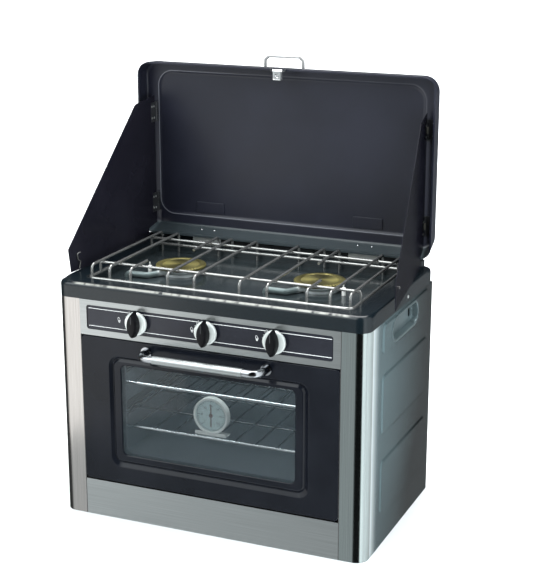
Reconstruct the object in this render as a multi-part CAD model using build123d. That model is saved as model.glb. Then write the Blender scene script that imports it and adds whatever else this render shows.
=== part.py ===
"""Portable two-burner gas stove with an oven below, lid and windscreens raised.

Units are millimetres. +X is to the right as the user faces the oven door, +Y runs from
the door to the back, +Z is up. The origin is the centre of the base, on the floor.
"""
import os
from math import atan2, cos, degrees, radians, sin

from build123d import *

# Body
width = 530.0
depth = 320.0
sheet = 1.0
corner_r = 20.0
post_face = 42.5
post_wrap = 24.0
kick_height = 62.5
pan_edge = 20.0
pan_field_margin = 65.0
pan_field_end = 80.0
pan_field_rise = 3.0
pan_slot_long = 120.0
pan_slot_wide = 8.0
pan_slot_step = 30.0
pan_slots = 6
fascia_bottom = 313.0
rim_bottom = 371.5
rim_height = 26.0
rim_sheet = 1.2
rim_round = 7.0
rear_corner_r = 14.0
upstand_half = 236.0
upstand_in = 316.4
upstand_sheet = 1.2
upstand_rise = 10.5
carry_in = 172.0
carry_z = 345.0
carry_long = 126.0
carry_high = 36.0
carry_deep = 9.0
carry_sheet = 1.2
carry_ring = 3.0
carry_ring_sheet = 0.8
side_field_front = 66.0
side_field_back = 294.0
side_field_rise = 2.0
side_field_r = 12.0
side_field_draft = 35.0

# Cooktop
well_half = 229.7
well_front = 31.5
well_back = 295.0
well_r = 12.0
well_depth = 14.5
tray_flange = 12.0
burner_x = 124.0
burner_in = 165.0
cap_r = 42.0
cap_height = 6.0
cap_top_over_rim = 2.5
head_r = 33.0
mixer_r = 5.0

# Pan grate
grate_wire = 4.5
grate_frame_wire = 5.0
grate_weld = 0.4
grate_rows = (38.7, 85.3, 189.0)
grate_prong_front = 151.4
grate_prong_rear = 112.0
grate_prong_front_end = 97.0
grate_prong_rear_end = 189.0
grate_frame_gap = 0.5
grate_frame_z = -1.0
grate_frame_back = 282.0
grate_front_r = 10.0
grate_rear_r = 6.0
grate_bar_front = 75.5
grate_bar_back = 254.0
grate_top_over_rim = 22.2
grate_bend = 7.0

# Oven
liner_half = 200.0
liner_front = 20.0
liner_back = 290.0
liner_bottom = 77.0
liner_top = 301.0
rack_wire = 5.0
rack_rod = 3.0
rack_side_gap = 7.0
rack_front_gap = 5.0
rack_back_gap = 9.0
lower_rack_z = 157.0
upper_rack_z = 232.0
rack_rods = 11
runner_lip = 10.0
runner_sheet = 1.2
runner_inset = 8.0
runner_wall = 12.0
vent_long = 200.0
vent_wide = 14.0
vent_from_side = 25.0
rest_gap = 0.3
floor_plate_z = 92.0

# Door
door_gap = 1.0
door_bottom = 65.5
door_top = 311.5
door_face = -2.0
door_back = 19.7
door_sheet = 1.2
door_wall_back = 15.0
door_r = 6.0
window_half = 150.0
window_bottom = 115.5
window_top = 269.5
window_r = 9.0
groove_half = 169.0
groove_bottom = 99.0
groove_top = 281.0
groove_r = 16.0
groove_width = 5.0
glass_thick = 4.0
glass_lap = 5.0
pivot_in = 4.0
pivot_z = 69.5
pivot_r = 2.5
pivot_fit = 0.05
handle_z = 297.0
handle_out = 32.0
handle_half = 76.0
handle_r = 6.8
handle_foot_x = 103.0

# Controls
inset_half = 210.5
inset_bottom = 323.0
inset_top = 363.0
inset_r = 4.5
knob_xs = (-119.0, 2.0, 117.0)
knob_z = 343.5
knob_skirt_r = 19.0
knob_back = -4.8
knob_reach = 18.5
skirt_floor = 1.5
grip_half = 21.5
grip_width = 19.0
stem_r = 4.0
stem_fit = 0.05
stem_back = 30.0
valve_front = 18.0
valve_back = 52.0
inlet_r = 7.0

# Lid, modelled standing open
lid_half = 268.0
lid_front = 294.0
lid_back = 327.0
lid_bottom = 411.0
lid_bottom_back = 423.0
lid_top = 713.0
lid_draft = 2.0
lid_r = 26.0
lid_edge_r = 5.0
lid_sheet = 1.0
panel_half = 244.0
panel_bottom = 441.0
panel_top = 696.0
panel_r = 28.0
panel_rise = 2.0
lid_pin_in = 308.0
lid_pin_z = 412.0
hinge_x = 146.0
hinge_long = 54.0
hinge_knuckle_r = 3.2
hinge_pin_r = 1.5
hinge_middle = 18.0

lid_handle_half = 34.0
lid_handle_in = 312.0
lid_handle_r = 2.6
lid_handle_rise = 18.0
latch_x = -3.0
staple_r = 1.1

# Windscreens
screen_hinge_x = 247.0
screen_hinge_in = 321.5
screen_sheet = 1.0
screen_root = 4.6
screen_low_root = 426.0
screen_heel_r = 32.0
screen_heel_z = 419.5
screen_high_root = 652.0
screen_top_r = 68.0
screen_top_z = 644.0
screen_tip_r = 282.0
screen_tip_z = 437.5
screen_foot_r = 276.0
screen_edge_gap = 1.2
left_splay = 3.65
right_splay = 8.8
leaf_zs = (463.0, 623.0)
leaf_long = 34.0
leaf_knuckle_r = 2.6
leaf_pin_r = 1.2
leaf_wide = 13.0

front = -depth / 2
rim_top = rim_bottom + rim_height
tray_floor = rim_top - well_depth
post_inner = width / 2 - post_face
screen_edge_z = rim_top + screen_edge_gap
rack_half = liner_half - rack_side_gap
rack_front = liner_front + rack_front_gap
rack_back = liner_back - rack_back_gap


def y_in(distance):
    """Y of a place that lies this far behind the front face."""
    return front + distance


def block(xs, ins, zs):
    """A box between two limits in X, in depth behind the front face, and in Z."""
    ys = (y_in(ins[0]), y_in(ins[1]))
    size = [high - low for low, high in (xs, ys, zs)]
    middle = [(high + low) / 2 for low, high in (xs, ys, zs)]
    return Pos(*middle) * Box(*size)


def facing(sketch, near, far):
    """Extrude a sketch drawn in X and Z between two depths behind the front face."""
    plane = Plane(origin=(0, y_in(far), 0), x_dir=(1, 0, 0), z_dir=(0, -1, 0))
    return extrude(plane * sketch, far - near)


def sideways(sketch, low, high):
    """Extrude a sketch drawn in Y and Z between two values of X."""
    plane = Plane(origin=(low, 0, 0), x_dir=(0, 1, 0), z_dir=(1, 0, 0))
    return extrude(plane * sketch, high - low)


def upright(sketch, low, high):
    """Extrude a sketch drawn in X and Y between two heights."""
    return extrude(Pos(0, 0, low) * sketch, high - low)


def panel(x_low, x_high, z_low, z_high, radius):
    """A rectangle with round corners between limits, drawn in its plane's own axes."""
    middle = Pos((x_low + x_high) / 2, (z_low + z_high) / 2)
    return middle * RectangleRounded(x_high - x_low, z_high - z_low, radius)


def footprint(inset, rear_r=0.0, rear_inset=0.0):
    """The body seen from above, drawn in by an inset, with round front corners."""
    deep = depth - 2 * inset - rear_inset
    outline = Pos(0, -rear_inset / 2) * Rectangle(width - 2 * inset, deep)
    fronts = outline.vertices().sort_by(Axis.Y)[:2]
    outline = fillet(fronts, corner_r - inset)
    if rear_r > inset:
        rears = outline.vertices().sort_by(Axis.Y)[-2:]
        outline = fillet(rears, rear_r - inset)
    return outline


def cylinder_between(start, end, radius):
    """A round bar from one point to another."""
    line = Line(start, end)
    return extrude(Plane(origin=start, z_dir=line % 0) * Circle(radius), line.length)


def wire(points, radius, bend):
    """A round wire along points given as X, depth behind the front face, and Z."""
    places = [(x, y_in(v), z) for x, v, z in points]
    path = FilletPolyline(*places, radius=bend)
    section = Plane(origin=path @ 0, z_dir=path % 0) * Circle(radius)
    return sweep(section, path=path)


def bar(start, end, radius):
    """A straight round bar between two points given with a depth behind the front face."""
    a = (start[0], y_in(start[1]), start[2])
    b = (end[0], y_in(end[1]), end[2])
    return cylinder_between(a, b, radius)


def fuse_all(solids):
    """One shape from a list of solids that touch or cross."""
    first = solids[0]
    return first.fuse(*solids[1:]) if len(solids) > 1 else first


def group(solids):
    """Separate solids kept together as one node."""
    return Compound(children=list(solids))


# Body panels


def base_pan():
    """Pressed floor with an upturned edge, raised fields and air slots."""
    edge = pan_edge
    long = depth - pan_field_end
    wide = width / 2 - pan_field_margin
    skirt = upright(footprint(sheet, rear_inset=sheet), 0, edge)
    pan = skirt - upright(footprint(2 * sheet, rear_inset=sheet), sheet, edge)
    for side in (-1, 1):
        mid = side * width / 4
        outer = Pos(mid, 0, sheet) * extrude(RectangleRounded(wide, long, 14), pan_field_rise, taper=40)
        inner = Pos(mid, 0, 0) * extrude(RectangleRounded(wide - 2, long - 2, 13), pan_field_rise, taper=40)
        pan = pan + outer - inner
        for row in range(pan_slots):
            y = pan_slot_step * (row - (pan_slots - 1) / 2)
            slot = Pos(mid, y, 0) * SlotOverall(pan_slot_long, pan_slot_wide)
            pan = pan - upright(slot, 0, 8)
    return pan


def side_panel(side):
    """Side sheet with three raised fields, a rear flange and the carry opening."""
    x_face = width / 2
    start = y_in(post_wrap)
    end = y_in(depth)
    sheet_yz = Pos((start + end) / 2, rim_bottom / 2) * Rectangle(end - start, rim_bottom)
    skin = sideways(sheet_yz, x_face - sheet, x_face)
    for low, high in field_heights():
        skin = skin + side_field(x_face, low, high, 0)
        skin = skin - side_field(x_face - sheet, low, high, sheet)
    skin = skin - sideways(carry_outline(0), x_face - 5, x_face + 5)
    flange = block((x_face - 13, x_face - sheet), (depth - 2 * sheet, depth - sheet), (0, rim_bottom))
    skin = skin + flange
    return skin if side > 0 else mirror(skin, Plane.YZ)


def field_heights():
    """Bottom and top of each raised field of a side panel."""
    return ((53.0, 145.0), (187.0, 286.0), (318.0, 369.0))


def side_field(x_foot, low, high, inset):
    """One raised field of a side panel, drawn in by an inset, from its foot outwards."""
    outline = panel(
        y_in(side_field_front) + inset, y_in(side_field_back) - inset,
        low + inset, high - inset, side_field_r - inset,
    )
    plane = Plane(origin=(x_foot, 0, 0), x_dir=(0, 1, 0), z_dir=(1, 0, 0))
    return extrude(plane * outline, side_field_rise, taper=side_field_draft)


def carry_outline(inset):
    """The long round opening for lifting the stove, drawn in Y and Z."""
    slot = SlotOverall(carry_long - 2 * inset, carry_high - 2 * inset)
    return Pos(y_in(carry_in), carry_z) * slot


def carry_cups():
    """Two shallow round-ended cups that back the openings, each with a finger slot."""
    mouth = width / 2 + side_field_rise
    floor = mouth - carry_deep
    cup = sideways(carry_outline(0), floor - carry_sheet, mouth)
    cup = cup + sideways(carry_outline(-carry_ring), mouth, mouth + carry_ring_sheet)
    cup = cup - sideways(carry_outline(carry_sheet), floor, mouth + 1)
    finger = Pos(y_in(carry_in + carry_long / 2 - 19), carry_z + 2) * SlotOverall(17, 9, rotation=90)
    cup = cup - sideways(finger, floor - 5, floor + 1)
    return group([cup, mirror(cup, Plane.YZ)])


def back_panel():
    """Rear sheet with louvres, a flue grid and the gas inlet hole."""
    sheet_xz = Pos(0, rim_bottom / 2) * Rectangle(width - 2 * sheet, rim_bottom)
    skin = facing(sheet_xz, depth - sheet, depth)
    for row in range(5):
        for side in (-1, 1):
            slot = Pos(side * 110, 110 + 22 * row) * SlotOverall(120, 7)
            skin = skin - facing(slot, depth - 2, depth + 2)
    inlet = Pos(*gas_inlet_xz()) * Circle(8)
    return skin - facing(inlet, depth - 2, depth + 2)


def gas_inlet_xz():
    """Where the gas inlet leaves the back."""
    return (205.0, 343.5)


def corner_post(side):
    """Bright corner post, bent round the front corner, with a door jamb."""
    ring = footprint(0) - footprint(sheet)
    keep_x = (post_inner + width / 2) / 2
    keep = Pos(keep_x + 5, y_in(post_wrap / 2)) * Rectangle(post_face + 10, post_wrap)
    face = upright(ring & keep, 0, rim_bottom)
    jamb = block((post_inner, post_inner + sheet), (0, liner_front), (pan_edge, rim_bottom))
    post = face + jamb
    hole_r = pivot_r + pivot_fit
    post = post - bar((post_inner - 1, pivot_in, pivot_z), (post_inner + 2, pivot_in, pivot_z), hole_r)
    return post if side > 0 else mirror(post, Plane.YZ)


def kick_panel():
    """Bright plinth below the door, with a folded top edge."""
    face = block((-post_inner, post_inner), (0, sheet), (0, kick_height))
    fold = block((-post_inner, post_inner), (0, 14), (kick_height - sheet, kick_height))
    return face + fold


def control_fascia():
    """Bright pressed frame that carries the knobs."""
    outline = panel(-post_inner, post_inner, fascia_bottom, rim_bottom, 1.0)
    window = panel(-inset_half, inset_half, inset_bottom, inset_top, inset_r)
    face = facing(outline, -1.0, 0.6) - facing(window, -1.0, 0.6)
    sill = block((-post_inner + 1, post_inner - 1), (0.6, 14), (fascia_bottom, fascia_bottom + sheet))
    return face + sill


def control_inset():
    """Dark plate behind the fascia, pierced for the three stems."""
    plate = facing(panel(-inset_half - 4, inset_half + 4, inset_bottom - 4, inset_top + 4, 4), 0.6, 1.8)
    for x in knob_xs:
        plate = plate - facing(Pos(x, knob_z) * Circle(stem_r + 0.6), 0, 3)
    return plate


def top_rim():
    """Deep rounded frame round the cooktop."""
    outer = upright(footprint(0, rear_corner_r), rim_bottom, rim_top)
    outer = fillet(outer.faces().sort_by(Axis.Z)[-1].edges(), rim_round)
    inner = upright(footprint(rim_sheet, rear_corner_r), rim_bottom, rim_top - rim_sheet)
    inner = fillet(inner.faces().sort_by(Axis.Z)[-1].edges(), rim_round - rim_sheet)
    strip = (upstand_in, upstand_in + upstand_sheet)
    upstand = block((-upstand_half, upstand_half), strip, (rim_top - 3, rim_top + upstand_rise))
    return outer - inner - upright(well_outline(0), rim_bottom, rim_top + 1) + upstand


def well_outline(inset):
    """Opening of the cooktop well seen from above, drawn in by an inset."""
    middle = y_in((well_front + well_back) / 2)
    long = 2 * well_half - 2 * inset
    wide = well_back - well_front - 2 * inset
    return Pos(0, middle) * RectangleRounded(long, wide, well_r - inset)


def cooktop_tray():
    """Pressed well below the rim, pierced for the two burners and their mixing tubes."""
    under_rim = rim_top - rim_sheet
    flange = upright(well_outline(-tray_flange), under_rim - sheet, under_rim)
    tub = upright(well_outline(0), tray_floor - sheet, under_rim)
    hollow = upright(well_outline(sheet), tray_floor, under_rim)
    tray = flange + tub - hollow
    for side in (-1, 1):
        burner_hole = Pos(side * burner_x, y_in(burner_in)) * Circle(head_r - 8)
        mixer_hole = Pos(*mixer_drop(side)) * Circle(mixer_r + 0.7)
        tray = tray - upright(burner_hole, tray_floor - 3, tray_floor + 3)
        tray = tray - upright(mixer_hole, tray_floor - 3, tray_floor + 3)
    return tray


def mixer_drop(side):
    """X and Y where a mixing tube goes down through the tray."""
    return (side * burner_x - 72.0, y_in(burner_in - 54))


# Oven


def oven_liner():
    """Folded box with an open front and a flange that the door closes against."""
    wide = liner_half + sheet
    outer = block((-wide, wide), (liner_front, liner_back), (liner_bottom - sheet, liner_top + sheet))
    inner = block((-liner_half, liner_half), (liner_front, liner_back - sheet), (liner_bottom, liner_top))
    reach = post_inner + sheet
    flange = block((-reach, reach), (liner_front, liner_front + sheet), (kick_height + 2, fascia_bottom - 1))
    liner = outer + flange - inner
    for side in (-1, 1):
        place = Pos(side * (liner_half - vent_from_side), y_in((liner_front + liner_back) / 2))
        vent = place * SlotOverall(vent_long, vent_wide, rotation=90)
        liner = liner - upright(vent, liner_bottom - 3, liner_bottom + 3)
    return liner


def oven_floor_plate():
    """Heat spreader on four bent feet above the oven's floor."""
    top = upright(Pos(0, y_in(155)) * RectangleRounded(330, 230, 8), floor_plate_z, floor_plate_z + 1.5)
    feet = []
    for x in (-150, 150):
        for v in (60, 250):
            feet.append(block((x - 6, x + 6), (v - 6, v + 6), (liner_bottom, floor_plate_z)))
    return fuse_all([top] + feet)


def oven_burner():
    """Long ported burner tube below the oven's floor, on two stands."""
    z = 52.0
    tube = bar((-150, 155, z), (150, 155, z), 9)
    for index in range(12):
        x = -132 + 24 * index
        tube = tube - bar((x, 155, z), (x, 155, z + 12), 1.5)
    stands = [block((x - 2, x + 2), (147, 163), (4.0, z - 4)) for x in (-120, 120)]
    return fuse_all([tube] + stands)


def rack_runners():
    """Four ledges on the oven's walls that the racks slide on."""
    ledges = []
    run = (liner_front + runner_inset, liner_back - runner_inset + 3)
    lip = rack_side_gap + runner_lip - 7
    for z in (lower_rack_z, upper_rack_z):
        top = z - rack_wire / 2 - rest_gap
        ledge = block((liner_half - lip, liner_half), run, (top - runner_sheet, top))
        rise = block((liner_half - runner_sheet, liner_half), run, (top, top + runner_wall))
        one = ledge + rise
        ledges += [one, mirror(one, Plane.YZ)]
    return group(ledges)


def rack(z):
    """Wire shelf: a round-cornered frame with rods across it."""
    corner = 12.0
    half = rack_half
    frame = [
        (0, rack_front, z), (half, rack_front, z), (half, rack_back, z),
        (-half, rack_back, z), (-half, rack_front, z), (-0.01, rack_front, z),
    ]
    right = wire(frame[:4][:3] + [(0, rack_back, z)], rack_wire / 2, corner)
    left = mirror(right, Plane.YZ)
    pieces = [right, left]
    step = 2 * (half - 14) / (rack_rods - 1)
    for index in range(rack_rods):
        x = -half + 14 + step * index
        pieces.append(bar((x, rack_front, z + 1.2), (x, rack_back, z + 1.2), rack_rod / 2))
    for v in (rack_front + 85, rack_back - 85):
        pieces.append(bar((-half, v, z - 0.9), (half, v, z - 0.9), rack_rod / 2))
    return fuse_all(pieces)


def thermometer_case():
    """Round steel case on a bent foot that stands on the lower rack."""
    x, v, z = thermometer_place()
    cup = facing(Pos(x, z) * Circle(30), v, v + 11) - facing(Pos(x, z) * Circle(27.5), v, v + 9.8)
    low = thermometer_foot_z()
    foot = block((x - 27, x + 27), (v - 1, v + 17), (low, low + 1.2))
    neck = block((x - 8, x + 8), (v + 11, v + 12.2), (low, z))
    lip = block((x - 27, x + 27), (v - 1, v + 0.2), (low, low + 6))
    return cup + foot + neck + lip


def thermometer_place():
    """Centre of the dial: X, depth of its front, and Z."""
    return (-8.0, 29.0, 193.0)


def thermometer_foot_z():
    """Underside of the thermometer's foot, just clear of the rack's rods."""
    return lower_rack_z + 1.2 + rack_rod / 2 + rest_gap


def thermometer_dial():
    """White dial plate inside the case."""
    x, v, z = thermometer_place()
    plate = facing(Pos(x, z) * Circle(27.5), v + 3.0, v + 4.0)
    return plate - facing(Pos(x, z) * Circle(1.05), v + 2, v + 5)


def thermometer_needle():
    """Pointer with a tail, on a short spindle through the dial."""
    x, v, z = thermometer_place()
    blade = facing(Pos(x, z) * Rectangle(2.0, 38), v + 1.6, v + 2.2)
    hub = facing(Pos(x, z) * Circle(3.2), v + 1.4, v + 2.6)
    spindle = facing(Pos(x, z) * Circle(1.0), v + 2.2, v + 7)
    return blade + hub + spindle


# Burners and gas


def burner_bodies():
    """Two burner heads, each with its mixing tube."""
    bodies = []
    for side in (-1, 1):
        centre = Pos(side * burner_x, y_in(burner_in))
        base = rim_top + cap_top_over_rim - cap_height
        head = upright(centre * Circle(head_r), tray_floor, tray_floor + 4)
        head = head + upright(centre * Circle(head_r - 9), tray_floor - 8, base - 3)
        head = head + upright(centre * Circle(head_r + 3), base - 3, base)
        x_drop, y_drop = mixer_drop(side)
        z = tray_floor + mixer_r + 0.4
        x_turn = side * burner_x - 36
        path = FilletPolyline(
            (side * burner_x - 12, y_in(burner_in) - 18, z),
            (x_turn, y_drop, z),
            (x_drop, y_drop, z), (x_drop, y_drop, tray_floor - 18), radius=5.6,
        )
        tube = sweep(Plane(origin=path @ 0, z_dir=path % 0) * Circle(mixer_r), path=path)
        bodies.append(head + tube)
    return group(bodies)


def burner_caps():
    """Two brass caps with a ring of ports round the edge."""
    caps = []
    for side in (-1, 1):
        base = rim_top + cap_top_over_rim - cap_height
        profile = Polyline(
            (0, 0), (cap_r, 0), (cap_r, cap_height - 2.5), (cap_r - 2.5, cap_height - 1),
            (cap_r - 12, cap_height - 0.6), (16, cap_height), (0, cap_height), close=True,
        )
        cap = revolve(Plane.XZ * make_face(profile), Axis.Z)
        caps.append(Pos(side * burner_x, y_in(burner_in), base) * cap)
    return group(caps)


def igniter_electrodes():
    """White spark electrodes, one outside each burner."""
    pins = []
    for side in (-1, 1):
        x = side * (burner_x + cap_r + 6)
        v = burner_in - 20
        body = bar((x, v, tray_floor), (x, v, rim_top - 2), 3.2)
        tip = bar((x, v, rim_top - 2), (x, v, rim_top + 4), 0.8)
        pins.append(body + tip)
    return group(pins)


def gas_manifold():
    """Supply tube from the rear inlet to the three valves."""
    x_inlet, z_inlet = gas_inlet_xz()
    v = valve_back + 5
    return wire([(knob_xs[0] - 16, v, knob_z), (x_inlet, v, knob_z), (x_inlet, depth - 20, z_inlet)], 5, 20)


def gas_valves():
    """Three valve bodies on the manifold, each bored for its stem."""
    valves = []
    for x in knob_xs:
        body = block((x - 11, x + 11), (valve_front, valve_back), (knob_z - 11, knob_z + 11))
        nose = bar((x, 8, knob_z), (x, valve_front, knob_z), 7.5)
        bore = bar((x, 6, knob_z), (x, stem_back + 4, knob_z), stem_r + stem_fit)
        valves.append(body + nose - bore)
    return group(valves)


def gas_inlet():
    """Brass union that stands out of the back, bored for the gas."""
    x, z = gas_inlet_xz()
    profile = Polyline(
        (0, 0), (5, 0), (5, 16), (7.8, 16), (7.8, 22), (11, 22), (11, 29),
        (inlet_r, 29), (inlet_r, 46), (3, 46), (3, 26), (0, 26), close=True,
    )
    tail = revolve(Plane.XZ * make_face(profile), Axis.Z)
    return Pos(x, y_in(depth - 20), z) * Rot(-90, 0, 0) * tail


# Lid and its hinges


def lid_section(inset):
    """Open pan between its mouth and its closed face, drawn in by an inset."""
    mouth = panel(-lid_half + inset, lid_half - inset, lid_bottom + inset, lid_top - inset, lid_r - inset)
    half = lid_half - lid_draft
    high = lid_top - lid_draft - inset
    plate = panel(-half + inset, half - inset, lid_bottom_back + inset, high, lid_r - inset)
    near = Plane(origin=(0, y_in(lid_front), 0), x_dir=(1, 0, 0), z_dir=(0, -1, 0))
    far = Plane(origin=(0, y_in(lid_back) - inset, 0), x_dir=(1, 0, 0), z_dir=(0, -1, 0))
    pan = loft([near * mouth, far * plate], ruled=True)
    return fillet(pan.faces().sort_by(Axis.Y)[-1].edges(), lid_edge_r - inset)


def lid_shell():
    """Deep enamelled lid with a pressed field across its face."""
    pan = lid_section(0) - lid_section(lid_sheet)
    field = panel(-panel_half, panel_half, panel_bottom, panel_top, panel_r)
    back = Plane(origin=(0, y_in(lid_back), 0), x_dir=(-1, 0, 0), z_dir=(0, 1, 0))
    pan = pan + extrude(back * field, panel_rise, taper=30)
    smaller = panel(-panel_half + 1, panel_half - 1, panel_bottom + 1, panel_top - 1, panel_r - 1)
    inside = Plane(origin=(0, y_in(lid_back) - lid_sheet, 0), x_dir=(-1, 0, 0), z_dir=(0, 1, 0))
    pan = pan - extrude(inside * smaller, panel_rise, taper=30)
    for x in (-lid_handle_half, lid_handle_half):
        pan = pan - bar((x, lid_handle_in, lid_top - 8), (x, lid_handle_in, lid_top + 5), lid_handle_r)
    return pan


def lid_handle():
    """Bent wire pull on the edge of the lid."""
    foot = lid_top - 4.0
    top = lid_top + lid_handle_rise
    v = lid_handle_in
    half = lid_handle_half
    left = [(-half, v, foot), (-half, v, top - 6), (-half + 7, v, top)]
    right = [(half - 7, v, top), (half, v, top - 6), (half, v, foot)]
    return wire(left + right, lid_handle_r, 3.5)


def lid_hinge_brackets():
    """Two brackets on the rim that hold the lid's pins."""
    both = []
    for side in (-1, 1):
        x = side * hinge_x
        half = hinge_long / 2
        foot = block((x - half, x + half), (310.4, upstand_in - 0.3), (rim_top, rim_top + 1.2))
        web = block((x - half, x + half), (310.2, 311.4), (rim_top, lid_pin_z - 4))
        bracket = foot + web
        for low, high in ((-half, -hinge_middle / 2 - 0.3), (hinge_middle / 2 + 0.3, half)):
            ear = block((x + low, x + high), (310.2, 311.4), (rim_top, lid_pin_z))
            start = (x + low, lid_pin_in, lid_pin_z)
            knuckle = bar(start, (x + high, lid_pin_in, lid_pin_z), hinge_knuckle_r)
            bracket = bracket + ear + knuckle
        bore = bar((x - half - 1, lid_pin_in, lid_pin_z), (x + half + 1, lid_pin_in, lid_pin_z), hinge_pin_r)
        both.append(bracket - bore)
    return group(both)


def lid_hinge_pins():
    """The two pins that the lid turns on."""
    half = hinge_long / 2
    pins = []
    for x in (-hinge_x, hinge_x):
        pins.append(bar((x - half, lid_pin_in, lid_pin_z), (x + half, lid_pin_in, lid_pin_z), hinge_pin_r))
    return group(pins)


def lid_wall_z(v):
    """Height of the underside of the lid's sloping lower wall at a depth."""
    return lid_bottom + (lid_bottom_back - lid_bottom) * (v - lid_front) / (lid_back - lid_front)


def lid_hinge_leaves():
    """Two leaves below the lid's lower wall, each with a middle knuckle."""
    leaf = 1.2
    both = []
    for side in (-1, 1):
        x = side * hinge_x
        narrow = [(306, 0), (313.5, 0), (313.5, leaf), (306, leaf)]
        rear = lid_back - lid_edge_r - 0.5
        wide = [(313.2, 0), (rear, 0), (rear, leaf), (313.2, leaf)]
        pieces = []
        for corners, half in ((narrow, hinge_middle / 2), (wide, hinge_long / 2)):
            outline = [(y_in(v), lid_wall_z(v) - drop) for v, drop in corners]
            pieces.append(sideways(make_face(Polyline(*outline, close=True)), x - half, x + half))
        half = hinge_middle / 2
        pieces.append(bar((x - half, lid_pin_in, lid_pin_z), (x + half, lid_pin_in, lid_pin_z), hinge_knuckle_r))
        neck = [(306.5, 0.4), (309.5, 0.4), (309.5, 2.2), (306.5, 2.2)]
        outline = [(y_in(v), lid_wall_z(v) - drop) for v, drop in neck]
        pieces.append(sideways(make_face(Polyline(*outline, close=True)), x - half, x + half))
        bore_r = hinge_pin_r + 0.05
        bore = bar((x - half - 1, lid_pin_in, lid_pin_z), (x + half + 1, lid_pin_in, lid_pin_z), bore_r)
        both.append(fuse_all(pieces) - bore)
    return group(both)


def latch_pivot():
    """Depth and height of the axis that the lid's latch swings on."""
    return (lid_front - 3.0, lid_top - 4.0)


def latch_staple():
    """Dark wire staple on the lid's edge that carries the latch."""
    v, z = latch_pivot()
    seat = z + 3.5
    low = latch_x - 13
    high = latch_x + 13
    left = [(low, lid_front, seat), (low, v, seat), (low, v, z)]
    right = [(high, v, z), (high, v, seat), (high, lid_front, seat)]
    return wire(left + right, staple_r, 1.5)


def lid_latch():
    """Bright catch plate rolled round the staple."""
    v, z = latch_pivot()
    low = latch_x - 8.5
    high = latch_x + 8.5
    roll = bar((low, v, z), (high, v, z), staple_r + 1.3)
    front_face = v - staple_r - 1.3
    plate = block((low, high), (front_face, front_face + sheet), (z - 15, z))
    hook = block((low, high), (front_face, v + 1.2), (z - 15, z - 14))
    bore = bar((low - 1, v, z), (high + 1, v, z), staple_r + 0.08)
    return roll + plate + hook - bore


# Windscreens


def screen_place(side, splay):
    """Location of a windscreen: origin on its pin, X along the panel, Y outwards, Z up."""
    angle = radians(splay)
    along = (side * sin(angle), -cos(angle), 0)
    outward = (side * cos(angle), sin(angle), 0)
    return along, outward


def screen_solid(sketch, side, splay, low, high):
    """Extrude a sketch drawn along and up a windscreen between two offsets outwards."""
    along, outward = screen_place(side, splay)
    normal = Vector(*along).cross(Vector(0, 0, 1))
    origin = Vector(side * screen_hinge_x, y_in(screen_hinge_in), 0)
    sign = 1 if normal.dot(Vector(*outward)) > 0 else -1
    start = origin + Vector(*outward) * (low if sign > 0 else high)
    plane = Plane(origin=start, x_dir=along, z_dir=normal)
    return extrude(plane * sketch, high - low)


def windscreen(side, splay):
    """Tapered side screen with a round top corner and a hole for its clip."""
    outline = make_face(Polyline(
        (screen_root, screen_low_root), (screen_root, screen_high_root), (screen_top_r, screen_top_z),
        (screen_tip_r, screen_tip_z), (screen_foot_r, screen_edge_z), (screen_heel_r + 3, screen_edge_z),
        (screen_heel_r, screen_edge_z + 3), (screen_heel_r, screen_heel_z), close=True,
    ))
    corner = outline.vertices().sort_by_distance((screen_top_r, screen_top_z))[0]
    outline = fillet(corner, 10)
    half = screen_sheet / 2
    panel_solid = screen_solid(outline, side, splay, -half, half)
    hole = Pos(*clip_eye()) * Circle(1.0 + 0.08)
    return panel_solid - screen_solid(hole, side, splay, -3, 3)


def clip_eye():
    """Where the wire clip turns in the windscreen: along it, and height."""
    return (250.0, 427.0)


def knuckle_spans(z):
    """Heights of a windscreen hinge's three knuckles: two on the lid, one on the screen."""
    third = leaf_long / 3
    low = z - leaf_long / 2
    lower = (low, low + third - 0.2)
    middle = (low + third + 0.1, low + 2 * third - 0.1)
    upper = (low + 2 * third + 0.2, low + leaf_long)
    return (lower, middle, upper)


def screen_leaves(side, splay):
    """Leaves riveted inside the windscreen, with the middle knuckles."""
    half = screen_sheet / 2
    origin = (side * screen_hinge_x, y_in(screen_hinge_in))
    pieces = []
    for z in leaf_zs:
        low, high = knuckle_spans(z)[1]
        roll = upright(Pos(*origin) * Circle(leaf_knuckle_r), low, high)
        neck = Pos(leaf_knuckle_r + 0.9, (low + high) / 2) * Rectangle(5.0, high - low)
        strap = Pos(screen_root + leaf_wide / 2, z) * Rectangle(leaf_wide, leaf_long)
        one = roll + screen_solid(neck, side, splay, -half - 1, -half + 0.6)
        one = one - screen_solid(Pos(screen_root - 0.1 + 50, z) * Rectangle(100, 60), side, splay, -half, half)
        one = one + screen_solid(strap, side, splay, -half - 1, -half)
        bore = upright(Pos(*origin) * Circle(leaf_pin_r + 0.05), low - 1, high + 1)
        pieces.append(one - bore)
    return group(pieces)


def lid_side_leaves():
    """Leaves on the lid's face, with the outer knuckles and the pins of the windscreens."""
    pieces = []
    plate_in = lid_back - lid_sheet
    for z in leaf_zs:
        span = (z - leaf_long / 2, z + leaf_long / 2)
        one = block((screen_hinge_x - 2.4, screen_hinge_x + leaf_wide), (plate_in - 1, plate_in), span)
        for low, high in (knuckle_spans(z)[0], knuckle_spans(z)[2]):
            roll = upright(Pos(screen_hinge_x, y_in(screen_hinge_in)) * Circle(leaf_knuckle_r), low, high)
            web = block((screen_hinge_x - 2.4, screen_hinge_x - 1.4), (screen_hinge_in, plate_in), (low, high))
            one = one + roll + web
        pin = Pos(screen_hinge_x, y_in(screen_hinge_in)) * Circle(leaf_pin_r)
        one = one + upright(pin, *span)
        pieces += [one, mirror(one, Plane.YZ)]
    return group(pieces)


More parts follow.
